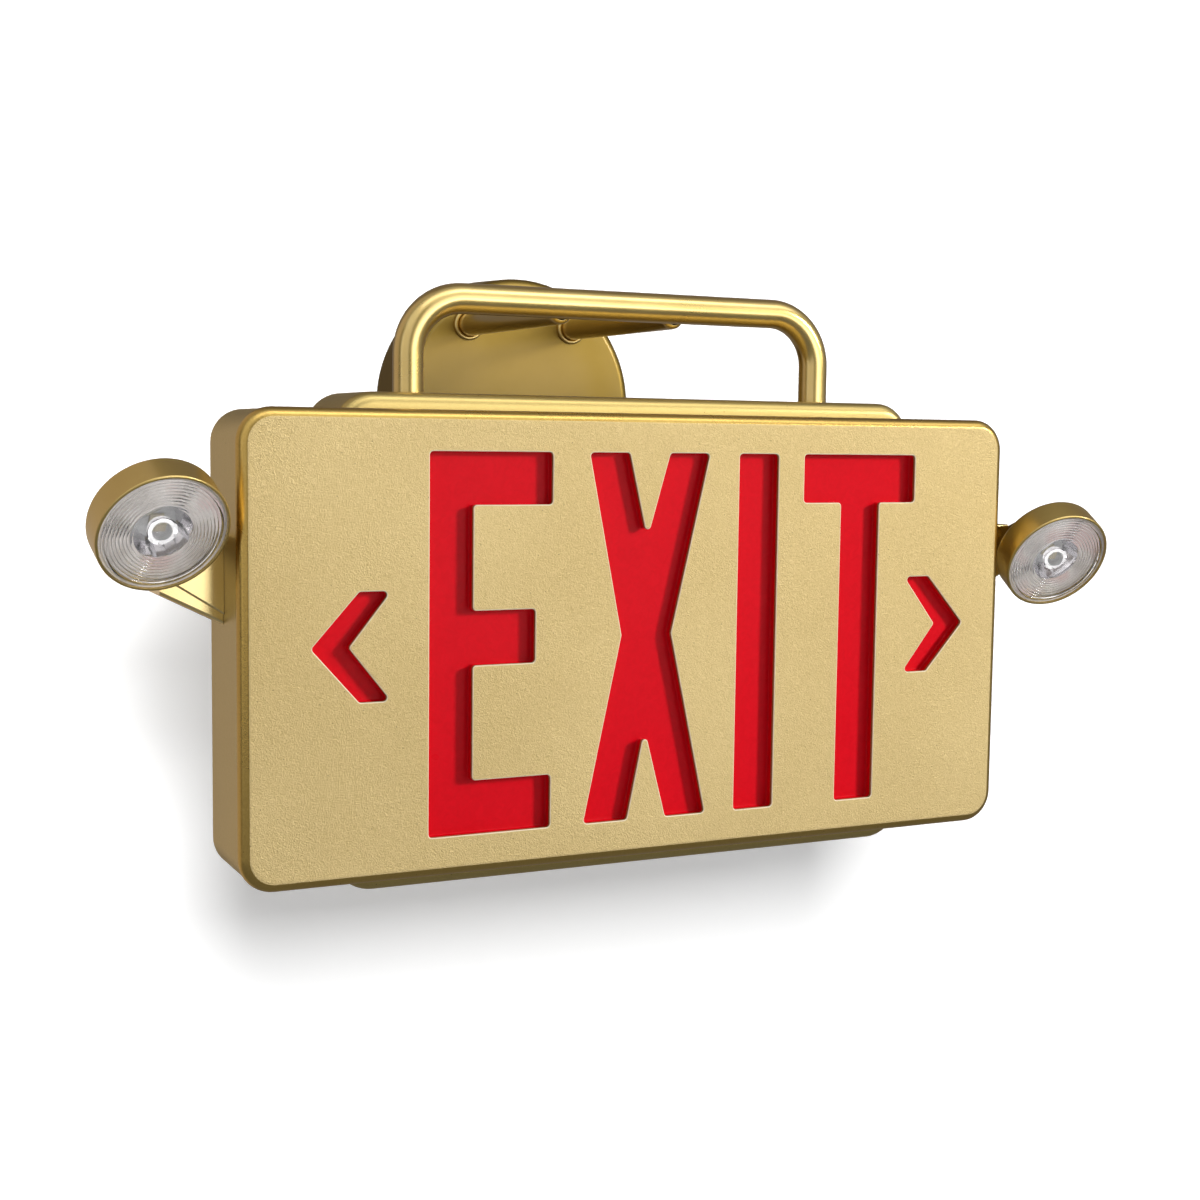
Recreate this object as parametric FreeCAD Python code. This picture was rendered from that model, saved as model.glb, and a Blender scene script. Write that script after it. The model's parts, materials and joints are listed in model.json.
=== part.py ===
# Emergency exit sign with two aimable lamp heads, hung from a wall canopy.
# Units: mm.  +Z up.  Origin: centre of the canopy's back face, on the wall.
# The sign stands in front of the wall, so its lettered face looks along -Y.

import FreeCAD, Part
import math
import os

V = FreeCAD.Vector

# ---- driving dimensions -------------------------------------------------
SIGN_W = 353.6          # lettered cover, left to right
SIGN_H = 184.7          # lettered cover, bottom to top
SIGN_TOP = -5.8         # height of the cover's top edge
FACE_Y = -182.0         # plane of the lettered face
CORNER_R = 13.8
EDGE_R = 4.5            # rolled front edge
FACE_T = 1.5            # sheet left round the letters
WALL = 2.5
SEAM_Y = -177.0         # joint between cover and case
TRAY_BACK_Y = -135.0    # back of the wide part of the case
LETTER_H = 152.4
POCKET_DEPTH = 4.6      # face to the red floor

CORE_W = 270.0          # taller centre body behind the cover
CORE_OVER = 6.75        # how far it stands above and below the cover
CORE_FRONT_Y = -168.0
CORE_BACK_Y = -124.0
CORE_R = 16.0
CORE_EDGE_R = 5.0

TUBE_R = 6.35           # half inch hanger tube
TUBE_BORE_R = 5.15
LEG_X = 97.0
BAR_Z = 40.1
BEND_R = 23.0
TUBE_Y = -144.0

ROD_R = 5.5
ROD_BORE_R = 3.8
ROD_X = 27.0
ROD_Z = 37.2

CANOPY_R = 61.3
CANOPY_DRAFT = 1.3      # how much smaller the canopy's face is
CANOPY_D = 34.0
CANOPY_T = 1.6
BOX_PITCH = 88.9        # screw spacing of the wall box

HEAD_R = 25.0
HEAD_D = 13.0
LENS_INSET = 1.1        # lens edge inside the shell's rim
LENS_T = 2.2
HEAD_GAP = 3.6          # head rim to the cover's side
HEAD_Y = -187.0
HEAD_Z = {-1: -52.4, 1: -69.8}
AIM_DOWN = 31.0
TOE_IN = 8.0
AXIS_Y = -147.0         # swivel axis of the lamp arms, along X
AXIS_Z = -64.0
LUG_BACK = 5.5          # hinge pin behind the head's back

LENS_R = HEAD_R - LENS_INSET
BRACKET_OUT = 23.7      # bracket's end beyond the cover's side
POST_IN = 11.0          # corner posts inside the centre body's edge
POST_R = 4.5
PLATE_IN = 5.0          # rear plate inside the centre body's edge
SCREW_R = 1.45
CENTRE_Z = SIGN_TOP - SIGN_H / 2.0
CORE_TOP = SIGN_TOP + CORE_OVER
CORE_BOTTOM = SIGN_TOP - SIGN_H - CORE_OVER
CORE_H = CORE_TOP - CORE_BOTTOM
SIDE_X = SIGN_W / 2.0 - 0.6

os.makedirs("parts", exist_ok=True)


# ---- small builders -----------------------------------------------------
def save(shape, node):
    shape.exportStep("parts/" + node + ".step")


def box(x0, x1, y0, y1, z0, z1):
    return Part.makeBox(x1 - x0, y1 - y0, z1 - z0, V(x0, y0, z0))


def rod(r, start, end):
    a = V(*start)
    b = V(*end)
    return Part.makeCylinder(r, (b - a).Length, a, b - a)


def fuse(shapes):
    whole = shapes[0].multiFuse(shapes[1:])
    return whole.removeSplitter()


def group(shapes):
    return Part.makeCompound(shapes)


def rounded_outline(points, radii, y):
    """Closed wire in the plane Y = y with every corner rounded."""
    count = len(points)
    edges = []
    ends = []
    for i in range(count):
        p = V(points[i][0], y, points[i][1])
        a = V(points[i - 1][0], y, points[i - 1][1])
        b = V(points[(i + 1) % count][0], y, points[(i + 1) % count][1])
        to_a = (a - p).normalize()
        to_b = (b - p).normalize()
        half = to_a.getAngle(to_b) / 2.0
        back = radii[i] / math.tan(half)
        mid = (to_a + to_b).normalize()
        reach = radii[i] / math.sin(half) - radii[i]
        start = p + to_a * back
        end = p + to_b * back
        edges.append(Part.Arc(start, p + mid * reach, end).toShape())
        ends.append((start, end))
    for i in range(count):
        edges.append(Part.makeLine(ends[i][1], ends[(i + 1) % count][0]))
    return Part.Wire(Part.__sortEdges__(edges))


def slab(w, h, r, y0, y1, cz, cx=0.0):
    """Upright plate with rounded corners, from y0 to y1."""
    pts = [(cx - w / 2, cz - h / 2), (cx + w / 2, cz - h / 2)]
    pts += [(cx + w / 2, cz + h / 2), (cx - w / 2, cz + h / 2)]
    wire = rounded_outline(pts, [r] * 4, y0)
    return Part.Face(wire).extrude(V(0, y1 - y0, 0))


def rim_edges(shape, y):
    """Edges that lie wholly in the plane Y = y."""
    found = []
    for edge in shape.Edges:
        b = edge.BoundBox
        if abs(b.YMin - y) < 1e-4 and abs(b.YMax - y) < 1e-4:
            found.append(edge)
    return found


def hexagon(across, t, centre, axis):
    """Hexagonal prism standing on centre, along axis."""
    r = across / math.sqrt(3.0)
    pts = []
    for i in range(7):
        a = math.radians(60.0 * i)
        pts.append(V(r * math.cos(a), r * math.sin(a), 0))
    solid = Part.Face(Part.makePolygon(pts)).extrude(V(0, 0, t))
    turn = FreeCAD.Rotation(V(0, 0, 1), V(*axis))
    solid.Placement = FreeCAD.Placement(V(*centre), turn)
    return solid


def pan_screw(tip, head, r, head_r, head_t):
    """Cross-recessed pan head screw; tip and head are points on its axis."""
    a = V(*tip)
    b = V(*head)
    axis = (b - a).normalize()
    shank = Part.makeCylinder(r, (b - a).Length, a, axis)
    cap = Part.makeCylinder(head_r, head_t, b, axis)
    cap = cap.makeChamfer(head_t * 0.35, [cap.Edges[0]])
    solid = shank.fuse(cap)
    turn = FreeCAD.Rotation(V(0, 0, 1), axis)
    for size in ((head_r * 1.2, 0.7), (0.7, head_r * 1.2)):
        slot = Part.makeBox(size[0], size[1], head_t)
        slot.translate(V(-size[0] / 2, -size[1] / 2, 0))
        slot.Placement = FreeCAD.Placement(b + axis * head_t * 0.5, turn).multiply(slot.Placement)
        solid = solid.cut(slot)
    return solid


# ---- stencil letters ----------------------------------------------------
K = LETTER_H / 152.4
LETTER_TOP = CENTRE_Z + LETTER_H / 2.0
LETTERS = {
    "E": [(-101.6, 0), (-49.2, 0), (-49.2, -20.9), (-83.4, -20.9), (-83.4, -62.8), (-56.4, -62.8),
          (-56.4, -84.5), (-83.4, -84.5), (-83.4, -130.7), (-49.2, -130.7), (-49.2, -152.4),
          (-101.6, -152.4)],
    "X": [(-32.7, 0), (-14.7, 0), (-6.1, -35.7), (4.3, 0), (22.9, 0), (5.5, -74.9),
          (23.1, -152.4), (4.2, -152.4), (-6.1, -114.0), (-14.1, -152.4), (-34.0, -152.4), (-17.4, -74.9)],
    "I": [(37.4, 0), (56.6, 0), (56.6, -152.4), (37.4, -152.4)],
    "T": [(69.7, 0), (127.5, 0), (127.5, -20.8), (108.6, -20.8),
          (108.6, -152.4), (88.9, -152.4), (88.9, -20.8), (69.7, -20.8)],
    "left arrow": [(-130.1, -54.0), (-117.4, -54.0), (-134.5, -75.4),
                   (-117.4, -96.8), (-130.1, -96.8), (-149.3, -75.4)],
    "right arrow": [(123.6, -54.0), (136.5, -54.0), (155.7, -75.4),
                    (136.5, -96.8), (123.6, -96.8), (140.4, -75.4)],
}


def letter_prism(points, grow, y0, y1, r=1.5):
    """One stencil shape, its outline moved outwards by grow."""
    pts = [V(K * x, K * z + LETTER_TOP, 0) for x, z in points]
    count = len(pts)
    out = []
    radii = []
    for i in range(count):
        d1 = (pts[i] - pts[i - 1]).normalize()
        d2 = (pts[(i + 1) % count] - pts[i]).normalize()
        n1 = V(-d1.y, d1.x, 0)
        n2 = V(-d2.y, d2.x, 0)
        moved = pts[i] + (n1 + n2) * (grow / (1.0 + n1.dot(n2)))
        out.append((moved.x, moved.y))
        convex = d1.cross(d2).z < 0
        radii.append(r + grow if convex else max(0.4, r - grow))
    return Part.Face(rounded_outline(out, radii, y0)).extrude(V(0, y1 - y0, 0))


# ---- sign case ----------------------------------------------------------
def front_cover():
    lip = SEAM_Y - 0.3
    outer = slab(SIGN_W, SIGN_H, CORNER_R, FACE_Y, lip, CENTRE_Z)
    outer = outer.makeFillet(EDGE_R, rim_edges(outer, FACE_Y))
    w = SIGN_W - 2 * WALL
    h = SIGN_H - 2 * WALL
    inner = slab(w, h, CORNER_R - WALL, FACE_Y + FACE_T, lip, CENTRE_Z)
    inner = inner.makeFillet(2.2, rim_edges(inner, FACE_Y + FACE_T))
    shell = outer.cut(inner)
    root = WALL - 0.5
    inset = 0.6 + WALL + 0.25
    tongue = slab(SIGN_W - 2 * inset, SIGN_H - 2 * inset, CORNER_R - inset, lip - 1.0, SEAM_Y + 6.0, CENTRE_Z)
    ledge = slab(SIGN_W - 2 * root, SIGN_H - 2 * root, CORNER_R - root, lip - 1.8, lip, CENTRE_Z)
    inset = inset + 1.4
    hollow = slab(SIGN_W - 2 * inset, SIGN_H - 2 * inset, CORNER_R - inset, lip - 3.0, SEAM_Y + 7.0, CENTRE_Z)
    shell = fuse([shell, ledge.cut(hollow), tongue.cut(hollow)])
    for points in LETTERS.values():
        shell = shell.cut(letter_prism(points, 0.0, FACE_Y - 1, FACE_Y + FACE_T + 1))
    return shell


def red_diffuser():
    front = FACE_Y + FACE_T + 0.1
    floor = FACE_Y + POCKET_DEPTH
    t = 1.2
    plate = slab(SIGN_W - 20.0, SIGN_H - 18.0, 6.0, front, front + t, CENTRE_Z)
    solids = [plate]
    for points in LETTERS.values():
        solids.append(letter_prism(points, 0.3 + t, front, floor + t))
    panel = fuse(solids)
    for points in LETTERS.values():
        panel = panel.cut(letter_prism(points, 0.3, front - 1, floor))
    return panel


POST_X = CORE_W / 2 - POST_IN
POST_Z = CORE_H / 2 - POST_IN - 1.1
POST_XZ = [(sx * POST_X, CENTRE_Z + sz * POST_Z) for sx in (-1, 1) for sz in (-1, 1)]
TRAY_POST_X = (CORE_W / 2 + SIGN_W / 2 - 10.0) / 2
TRAY_POST_Z = SIGN_H / 2 - 32.0
TRAY_POST_XZ = [(sx * TRAY_POST_X, CENTRE_Z + sz * TRAY_POST_Z) for sx in (-1, 1) for sz in (-1, 1)]
TRAY_FLOOR_Y = -158.0
TRAY_T = 1.2
CHASSIS_Y = -155.7      # front of the chassis plate
CHASSIS_T = 1.2
BRACKET_SCREW_YZ = [(AXIS_Y, AXIS_Z + 3.5), (AXIS_Y, AXIS_Z - 16.5)]
WIRE_Z = AXIS_Z - 6.5
BUTTON = (60.0, -146.0)
LAMP = (80.0, -146.0)


def rear_case():
    """Wide tray with the taller centre body grown through it, one moulding."""
    tray = slab(SIGN_W - 1.2, SIGN_H - 1.2, CORNER_R - 0.6, SEAM_Y, TRAY_BACK_Y, CENTRE_Z)
    tray = tray.makeFillet(2.0, rim_edges(tray, TRAY_BACK_Y))
    core = slab(CORE_W, CORE_H, CORE_R, CORE_FRONT_Y, CORE_BACK_Y, (CORE_TOP + CORE_BOTTOM) / 2)
    core = core.makeFillet(CORE_EDGE_R, rim_edges(core, CORE_FRONT_Y))
    core = core.makeFillet(2.0, rim_edges(core, CORE_BACK_Y))
    shell = fuse([tray, core])
    w = SIGN_W - 1.2 - 2 * WALL
    h = SIGN_H - 1.2 - 2 * WALL
    hollow = slab(w, h, CORNER_R - 0.6 - WALL, SEAM_Y - 1, TRAY_BACK_Y - WALL, CENTRE_Z)
    shell = shell.cut(hollow)
    w = CORE_W - 2 * WALL
    h = CORE_H - 2 * WALL
    y0 = CORE_FRONT_Y + WALL
    hollow = slab(w, h, CORE_R - WALL, y0, CORE_BACK_Y - WALL, (CORE_TOP + CORE_BOTTOM) / 2)
    hollow = hollow.makeFillet(2.5, rim_edges(hollow, y0))
    shell = shell.cut(hollow)
    hatch_w = 2 * (POST_X - POST_R - 5.5)
    hatch_h = 2 * (POST_Z - POST_R - 3.5)
    shell = shell.cut(slab(hatch_w, hatch_h, 8.0, CORE_BACK_Y - WALL - 1, CORE_BACK_Y + 1, CENTRE_Z))
    posts = []
    for x, z in POST_XZ:
        posts.append(rod(POST_R, (x, CHASSIS_Y + CHASSIS_T + 0.1, z), (x, CORE_BACK_Y - 1.0, z)))
    for x, z in TRAY_POST_XZ:
        posts.append(rod(4.0, (x, TRAY_FLOOR_Y + TRAY_T, z), (x, TRAY_BACK_Y - 1.0, z)))
    shell = fuse([shell] + posts)
    for x, z in POST_XZ:
        shell = shell.cut(rod(SCREW_R + 0.05, (x, CHASSIS_Y, z), (x, CORE_BACK_Y + 1, z)))
    for x, z in TRAY_POST_XZ:
        shell = shell.cut(rod(SCREW_R + 0.05, (x, TRAY_FLOOR_Y, z), (x, TRAY_FLOOR_Y + 14, z)))
    for s in (-1, 1):
        x = s * LEG_X
        shell = shell.cut(rod(TUBE_R + 0.1, (x, TUBE_Y, CORE_TOP - 4), (x, TUBE_Y, CORE_TOP + 1)))
        for y, z in BRACKET_SCREW_YZ:
            shell = shell.cut(rod(1.7, (s * (SIDE_X - 4), y, z), (s * (SIDE_X + 1), y, z)))
        shell = shell.cut(rod(4.0, (s * (SIDE_X - 4), AXIS_Y, WIRE_Z), (s * (SIDE_X + 1), AXIS_Y, WIRE_Z)))
    x, y = BUTTON
    shell = shell.cut(rod(4.3, (x, y, CORE_BOTTOM - 1), (x, y, CORE_BOTTOM + 4)))
    x, y = LAMP
    shell = shell.cut(rod(2.6, (x, y, CORE_BOTTOM - 1), (x, y, CORE_BOTTOM + 4)))
    return shell


def rear_plate():
    w = CORE_W - 2 * PLATE_IN
    h = CORE_H - 2 * PLATE_IN - 2.2
    plate = slab(w, h, CORE_R - PLATE_IN, CORE_BACK_Y + 0.05, CORE_BACK_Y + 2.05, CENTRE_Z)
    plate = plate.makeFillet(0.8, rim_edges(plate, CORE_BACK_Y + 2.05))
    for x, z in POST_XZ:
        plate = plate.cut(rod(1.7, (x, CORE_BACK_Y - 1, z), (x, CORE_BACK_Y + 3, z)))
    return plate


def rear_plate_screws():
    y = CORE_BACK_Y + 2.05
    return group([pan_screw((x, y - 12, z), (x, y, z), SCREW_R, 2.9, 1.8) for x, z in POST_XZ])


# ---- lighting and electronics inside the case ---------------------------
def light_tray():
    """White folded tray that spreads the light behind the red panel."""
    w = SIGN_W - 30.0
    h = SIGN_H - 26.0
    front = FACE_Y + POCKET_DEPTH + 1.8
    outer = slab(w, h, 9.0, front, TRAY_FLOOR_Y + TRAY_T, CENTRE_Z)
    inner = slab(w - 2 * TRAY_T, h - 2 * TRAY_T, 9.0 - TRAY_T, front - 1, TRAY_FLOOR_Y, CENTRE_Z)
    tray = outer.cut(inner)
    for x, z in TRAY_POST_XZ:
        tray = tray.cut(rod(SCREW_R + 0.25, (x, TRAY_FLOOR_Y - 1, z), (x, TRAY_FLOOR_Y + 2, z)))
    return tray


def tray_screws():
    y = TRAY_FLOOR_Y - 0.05
    return group([pan_screw((x, y + 10, z), (x, y, z), SCREW_R, 2.9, 1.8) for x, z in TRAY_POST_XZ])


STRIP_Z = [CENTRE_Z - 38.0, CENTRE_Z + 38.0]


def led_strips():
    strips = []
    for z in STRIP_Z:
        strips.append(box(-142.0, 142.0, TRAY_FLOOR_Y - 1.3, TRAY_FLOOR_Y - 0.1, z - 6.0, z + 6.0))
    return group(strips)


def sign_leds():
    leds = []
    for z in STRIP_Z:
        for i in range(12):
            x = -132.0 + 24.0 * i
            leds.append(box(x - 2.5, x + 2.5, TRAY_FLOOR_Y - 2.6, TRAY_FLOOR_Y - 1.35, z - 2.5, z + 2.5))
    return group(leds)


def chassis_plate():
    """Folded steel plate that carries the battery and the charger."""
    w = CORE_W - 2 * WALL - 7.0
    h = CORE_H - 2 * WALL - 9.2
    plate = slab(w, h, 8.0, CHASSIS_Y, CHASSIS_Y + CHASSIS_T, CENTRE_Z)
    for x, z in POST_XZ:
        plate = plate.cut(rod(SCREW_R + 0.25, (x, CHASSIS_Y - 1, z), (x, CHASSIS_Y + 2, z)))
    plate = plate.cut(slab(40.0, 22.0, 4.0, CHASSIS_Y - 1, CHASSIS_Y + 2, CENTRE_Z + 60.0, -60.0))
    reach = TUBE_R + 3.15 + 0.3
    if TUBE_Y - reach < CHASSIS_Y + CHASSIS_T:      # a wider tube's nuts need notches in the top edge
        z = CORE_TOP - WALL - 1.5 - 5.1 - 0.5
        for s in (-1, 1):
            x = s * LEG_X
            plate = plate.cut(box(x - reach - 2, x + reach + 2, CHASSIS_Y - 1, CHASSIS_Y + 2, z, CORE_TOP))
    return plate


CELL_R = 11.2
CELL_Z = CORE_BOTTOM + 30.0
CELL_Y = CHASSIS_Y + CHASSIS_T + 0.2 + CELL_R


def battery_cells():
    cells = []
    for i in range(3):
        x0 = -106.0 + 43.6 * i
        can = rod(CELL_R, (x0, CELL_Y, CELL_Z), (x0 + 42.0, CELL_Y, CELL_Z))
        can = can.makeChamfer(0.8, [e for e in can.Edges if e.isClosed()])
        tip = rod(4.0, (x0 + 41.5, CELL_Y, CELL_Z), (x0 + 43.4, CELL_Y, CELL_Z))
        cells.append(can.fuse(tip))
    return group(cells)


def battery_strap():
    """Bent steel strap over the cells, its feet on the chassis plate."""
    r0 = CELL_R + 0.3
    r1 = r0 + 1.0
    foot = CHASSIS_Y + 1.25
    x0 = -62.0
    x1 = -26.0
    arch = rod(r1, (x0, CELL_Y, CELL_Z), (x1, CELL_Y, CELL_Z))
    arch = fuse([arch, box(x0, x1, foot, CELL_Y, CELL_Z - r1, CELL_Z + r1)])
    arch = arch.common(box(x0, x1, foot, CELL_Y + r1 + 1, CELL_Z - r1, CELL_Z + r1))
    arch = arch.cut(rod(r0, (x0 - 1, CELL_Y, CELL_Z), (x1 + 1, CELL_Y, CELL_Z)))
    arch = arch.cut(box(x0 - 1, x1 + 1, foot - 1, CELL_Y, CELL_Z - r0, CELL_Z + r0))
    feet = [box(x0, x1, foot, foot + 1.0, CELL_Z - r1 - 9, CELL_Z - r1 + 0.5)]
    feet.append(box(x0, x1, foot, foot + 1.0, CELL_Z + r1 - 0.5, CELL_Z + r1 + 9))
    return fuse([arch] + feet)


BOARD_Z0 = CENTRE_Z - 26.0
BOARD_Z1 = CENTRE_Z + 44.0
BOARD_Y = CHASSIS_Y + CHASSIS_T + 5.0
BOARD_HOLES = [(x, z) for x in (-86.0, 26.0) for z in (BOARD_Z0 + 5, BOARD_Z1 - 5)]


def charger_board():
    board = box(-92.0, 32.0, BOARD_Y, BOARD_Y + 1.6, BOARD_Z0, BOARD_Z1)
    for x, z in BOARD_HOLES:
        board = board.cut(rod(1.6, (x, BOARD_Y - 1, z), (x, BOARD_Y + 3, z)))
    return board


def board_spacers():
    spacers = []
    for x, z in BOARD_HOLES:
        body = rod(3.0, (x, CHASSIS_Y + 1.25, z), (x, BOARD_Y - 0.05, z))
        spacers.append(body.cut(rod(1.5, (x, BOARD_Y - 4, z), (x, BOARD_Y + 1, z))))
    return group(spacers)


def board_screws():
    y = BOARD_Y + 1.65
    return group([pan_screw((x, y - 5, z), (x, y, z), 1.45, 2.7, 1.6) for x, z in BOARD_HOLES])


def transformer():
    """Laminated core with a wound bobbin, its legs on the board."""
    y0 = BOARD_Y + 1.65
    z = (BOARD_Z0 + BOARD_Z1) / 2
    core = box(-70.0, -38.0, y0 + 1.0, y0 + 17.0, z - 14.0, z + 14.0)
    bobbin = box(-63.0, -45.0, y0, y0 + 19.0, z - 19.0, z + 19.0)
    bobbin = bobbin.makeFillet(3.0, [e for e in bobbin.Edges if abs(e.BoundBox.XLength) > 17])
    return fuse([core, bobbin])


def capacitors():
    cans = []
    y0 = BOARD_Y + 1.65
    z = BOARD_Z1 - 14
    for x, r, h in ((-18, 6.3, 17), (-2, 5.0, 13), (12, 4.0, 11)):
        can = rod(r, (x, y0, z), (x, y0 + h, z))
        cans.append(can.makeChamfer(0.6, [e for e in can.Edges if e.isClosed()]))
    return group(cans)


def relay():
    y0 = BOARD_Y + 1.65
    body = box(-24.0, -5.0, y0, y0 + 15.0, BOARD_Z0 + 8, BOARD_Z0 + 24)
    return body.makeFillet(0.8, [e for e in body.Edges if e.BoundBox.YLength > 14])


def terminal_block():
    """Three-way screw terminal for the supply leads."""
    y0 = BOARD_Y + 1.65
    z0 = BOARD_Z0 + 6.0
    body = box(6.0, 22.0, y0, y0 + 11.0, z0 + 6, z0 + 30.0)
    for i in range(3):
        z = z0 + 10.0 + 8.0 * i
        body = body.cut(rod(2.2, (14.0, y0 + 7, z), (14.0, y0 + 12, z)))
        body = body.cut(box(18.0, 23.0, y0 + 1.5, y0 + 5.0, z - 2.5, z + 2.5))
    return body


def test_switch():
    """Push switch on its own small board, above the test button."""
    x, y = BUTTON
    z = CORE_BOTTOM + 9.0
    body = box(x - 6, x + 6, y - 6, y + 6, z, z + 7.0)
    return fuse([body, rod(1.8, (x, y, z - 0.9), (x, y, z + 1))])


def switch_board():
    z = CORE_BOTTOM + 16.1
    return box(BUTTON[0] - 9, LAMP[0] + 8, CHASSIS_Y + 1.3, -134.0, z, z + 1.6)


def test_button():
    x, y = BUTTON
    cap = rod(4.0, (x, y, CORE_BOTTOM - 2.6), (x, y, CORE_BOTTOM + 6.2))
    cap = cap.makeFillet(0.9, [e for e in cap.Edges if e.isClosed() and e.BoundBox.ZMax < CORE_BOTTOM])
    return fuse([cap, rod(5.6, (x, y, CORE_BOTTOM + WALL + 0.2), (x, y, CORE_BOTTOM + WALL + 1.6))])


def charge_indicator():
    """Small lens in the bottom of the case, its die under the switch board."""
    x, y = LAMP
    lens = rod(2.5, (x, y, CORE_BOTTOM - 1.2), (x, y, CORE_BOTTOM + 15.9))
    lens = lens.makeFillet(1.6, [e for e in lens.Edges if e.isClosed() and e.BoundBox.ZMax < CORE_BOTTOM])
    return fuse([lens, rod(3.1, (x, y, CORE_BOTTOM + WALL + 0.1), (x, y, CORE_BOTTOM + WALL + 1.2))])


# ---- hanger and canopy --------------------------------------------------
LEG_END_Z = CORE_TOP - 16.0


def tube_path():
    top = BAR_Z
    x = LEG_X
    r = BEND_R
    s = r * math.sqrt(0.5)
    y = TUBE_Y
    edges = [Part.makeLine(V(-x, y, LEG_END_Z), V(-x, y, top - r))]
    edges.append(Part.Arc(V(-x, y, top - r), V(-x + r - s, y, top - r + s), V(-x + r, y, top)).toShape())
    edges.append(Part.makeLine(V(-x + r, y, top), V(x - r, y, top)))
    edges.append(Part.Arc(V(x - r, y, top), V(x - r + s, y, top - r + s), V(x, y, top - r)).toShape())
    edges.append(Part.makeLine(V(x, y, top - r), V(x, y, LEG_END_Z)))
    return Part.Wire(edges)


def swept(r):
    circle = Part.Wire(Part.makeCircle(r, V(-LEG_X, TUBE_Y, LEG_END_Z), V(0, 0, 1)))
    return tube_path().makePipeShell([circle], True, False)


def hanger_tube():
    tube = swept(TUBE_R).cut(swept(TUBE_BORE_R))
    for s in (-1, 1):
        x = s * ROD_X
        tube = tube.cut(rod(ROD_BORE_R, (x, TUBE_Y + 2, ROD_Z), (x, TUBE_Y + TUBE_R + 3, ROD_Z)))
    return tube


def lock_nuts():
    nuts = []
    for s in (-1, 1):
        z = CORE_TOP - WALL - 1.5 - 5.1
        nut = hexagon(2 * TUBE_R + 6.3, 5.0, (s * LEG_X, TUBE_Y, z), (0, 0, 1))
        nuts.append(nut.cut(rod(TUBE_R + 0.02, (s * LEG_X, TUBE_Y, z - 1), (s * LEG_X, TUBE_Y, z + 6))))
    return group(nuts)


def lock_washers():
    rings = []
    for s in (-1, 1):
        z = CORE_TOP - WALL - 1.5 - 0.05
        ring = rod(TUBE_R + 4.15, (s * LEG_X, TUBE_Y, z), (s * LEG_X, TUBE_Y, z + 1.5))
        rings.append(ring.cut(rod(TUBE_R + 0.05, (s * LEG_X, TUBE_Y, z - 1), (s * LEG_X, TUBE_Y, z + 3))))
    return group(rings)


STUD_R = ROD_R - 0.7


def arm_rods():
    """Hollow rods, welded to the bar and nutted inside the canopy."""
    rods = []
    for s in (-1, 1):
        x = s * ROD_X
        body = rod(ROD_R, (x, TUBE_Y, ROD_Z), (x, -CANOPY_D, ROD_Z))
        body = body.fuse(rod(STUD_R, (x, -CANOPY_D - 1, ROD_Z), (x, -CANOPY_D + 12.0, ROD_Z)))
        body = body.cut(rod(ROD_BORE_R, (x, TUBE_Y - TUBE_R - 3, ROD_Z), (x, 0, ROD_Z)))
        rods.append(body.cut(rod(TUBE_R + 0.02, (x - 12, TUBE_Y, BAR_Z), (x + 12, TUBE_Y, BAR_Z))))
    return group(rods)


BEAD = [(0, -0.05), (1.8, -0.05), (2.1, -0.8), (1.6, -1.9), (0.8, -2.2), (0, -1.9), (0, -0.05)]


def rod_collars():
    """Small beaded rings that cover the rods' seats on the canopy."""
    rings = []
    for s in (-1, 1):
        ring = []
        for r, y in BEAD:
            ring.append(V(ROD_R + 0.05 + r, y - CANOPY_D, 0))
        bead = Part.Face(Part.makePolygon(ring)).revolve(V(0, 0, 0), V(0, 1, 0), 360)
        bead.translate(V(s * ROD_X, 0, ROD_Z))
        rings.append(bead)
    return group(rings)


def rod_nuts():
    nuts = []
    for s in (-1, 1):
        y = -CANOPY_D + CANOPY_T + 1.35
        nut = hexagon(2 * STUD_R + 4.4, 4.5, (s * ROD_X, y, ROD_Z), (0, 1, 0))
        nuts.append(nut.cut(rod(STUD_R + 0.02, (s * ROD_X, y - 1, ROD_Z), (s * ROD_X, y + 6, ROD_Z))))
    return group(nuts)


def rod_washers():
    rings = []
    for s in (-1, 1):
        y = -CANOPY_D + CANOPY_T + 0.05
        ring = rod(STUD_R + 3.2, (s * ROD_X, y, ROD_Z), (s * ROD_X, y + 1.2, ROD_Z))
        rings.append(ring.cut(rod(STUD_R + 0.05, (s * ROD_X, y - 1, ROD_Z), (s * ROD_X, y + 3, ROD_Z))))
    return group(rings)


SET_SCREW_DEG = (-90.0 - 32.0, -90.0 + 32.0)


def canopy_body(r_back, r_face, front, edge):
    pts = [V(0, 0, 0), V(r_back, 0, 0), V(r_face, front, 0), V(0, front, 0), V(0, 0, 0)]
    dish = Part.Face(Part.makePolygon(pts)).revolve(V(0, 0, 0), V(0, 1, 0), 360)
    return dish.makeFillet(edge, rim_edges(dish, front))


def wall_canopy():
    dish = canopy_body(CANOPY_R, CANOPY_R - CANOPY_DRAFT, -CANOPY_D, 5.0)
    t = CANOPY_T
    dish = dish.cut(canopy_body(CANOPY_R - t, CANOPY_R - CANOPY_DRAFT - t, -CANOPY_D + t, 3.4))
    for s in (-1, 1):
        x = s * ROD_X
        dish = dish.cut(rod(STUD_R + 0.1, (x, -CANOPY_D - 1, ROD_Z), (x, -CANOPY_D + 3, ROD_Z)))
    for deg in SET_SCREW_DEG:
        a = math.radians(deg)
        out = V(math.cos(a), 0, math.sin(a))
        dish = dish.cut(Part.makeCylinder(1.8, 20, out * (CANOPY_R - 15) + V(0, -9, 0), out))
    return dish


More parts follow.
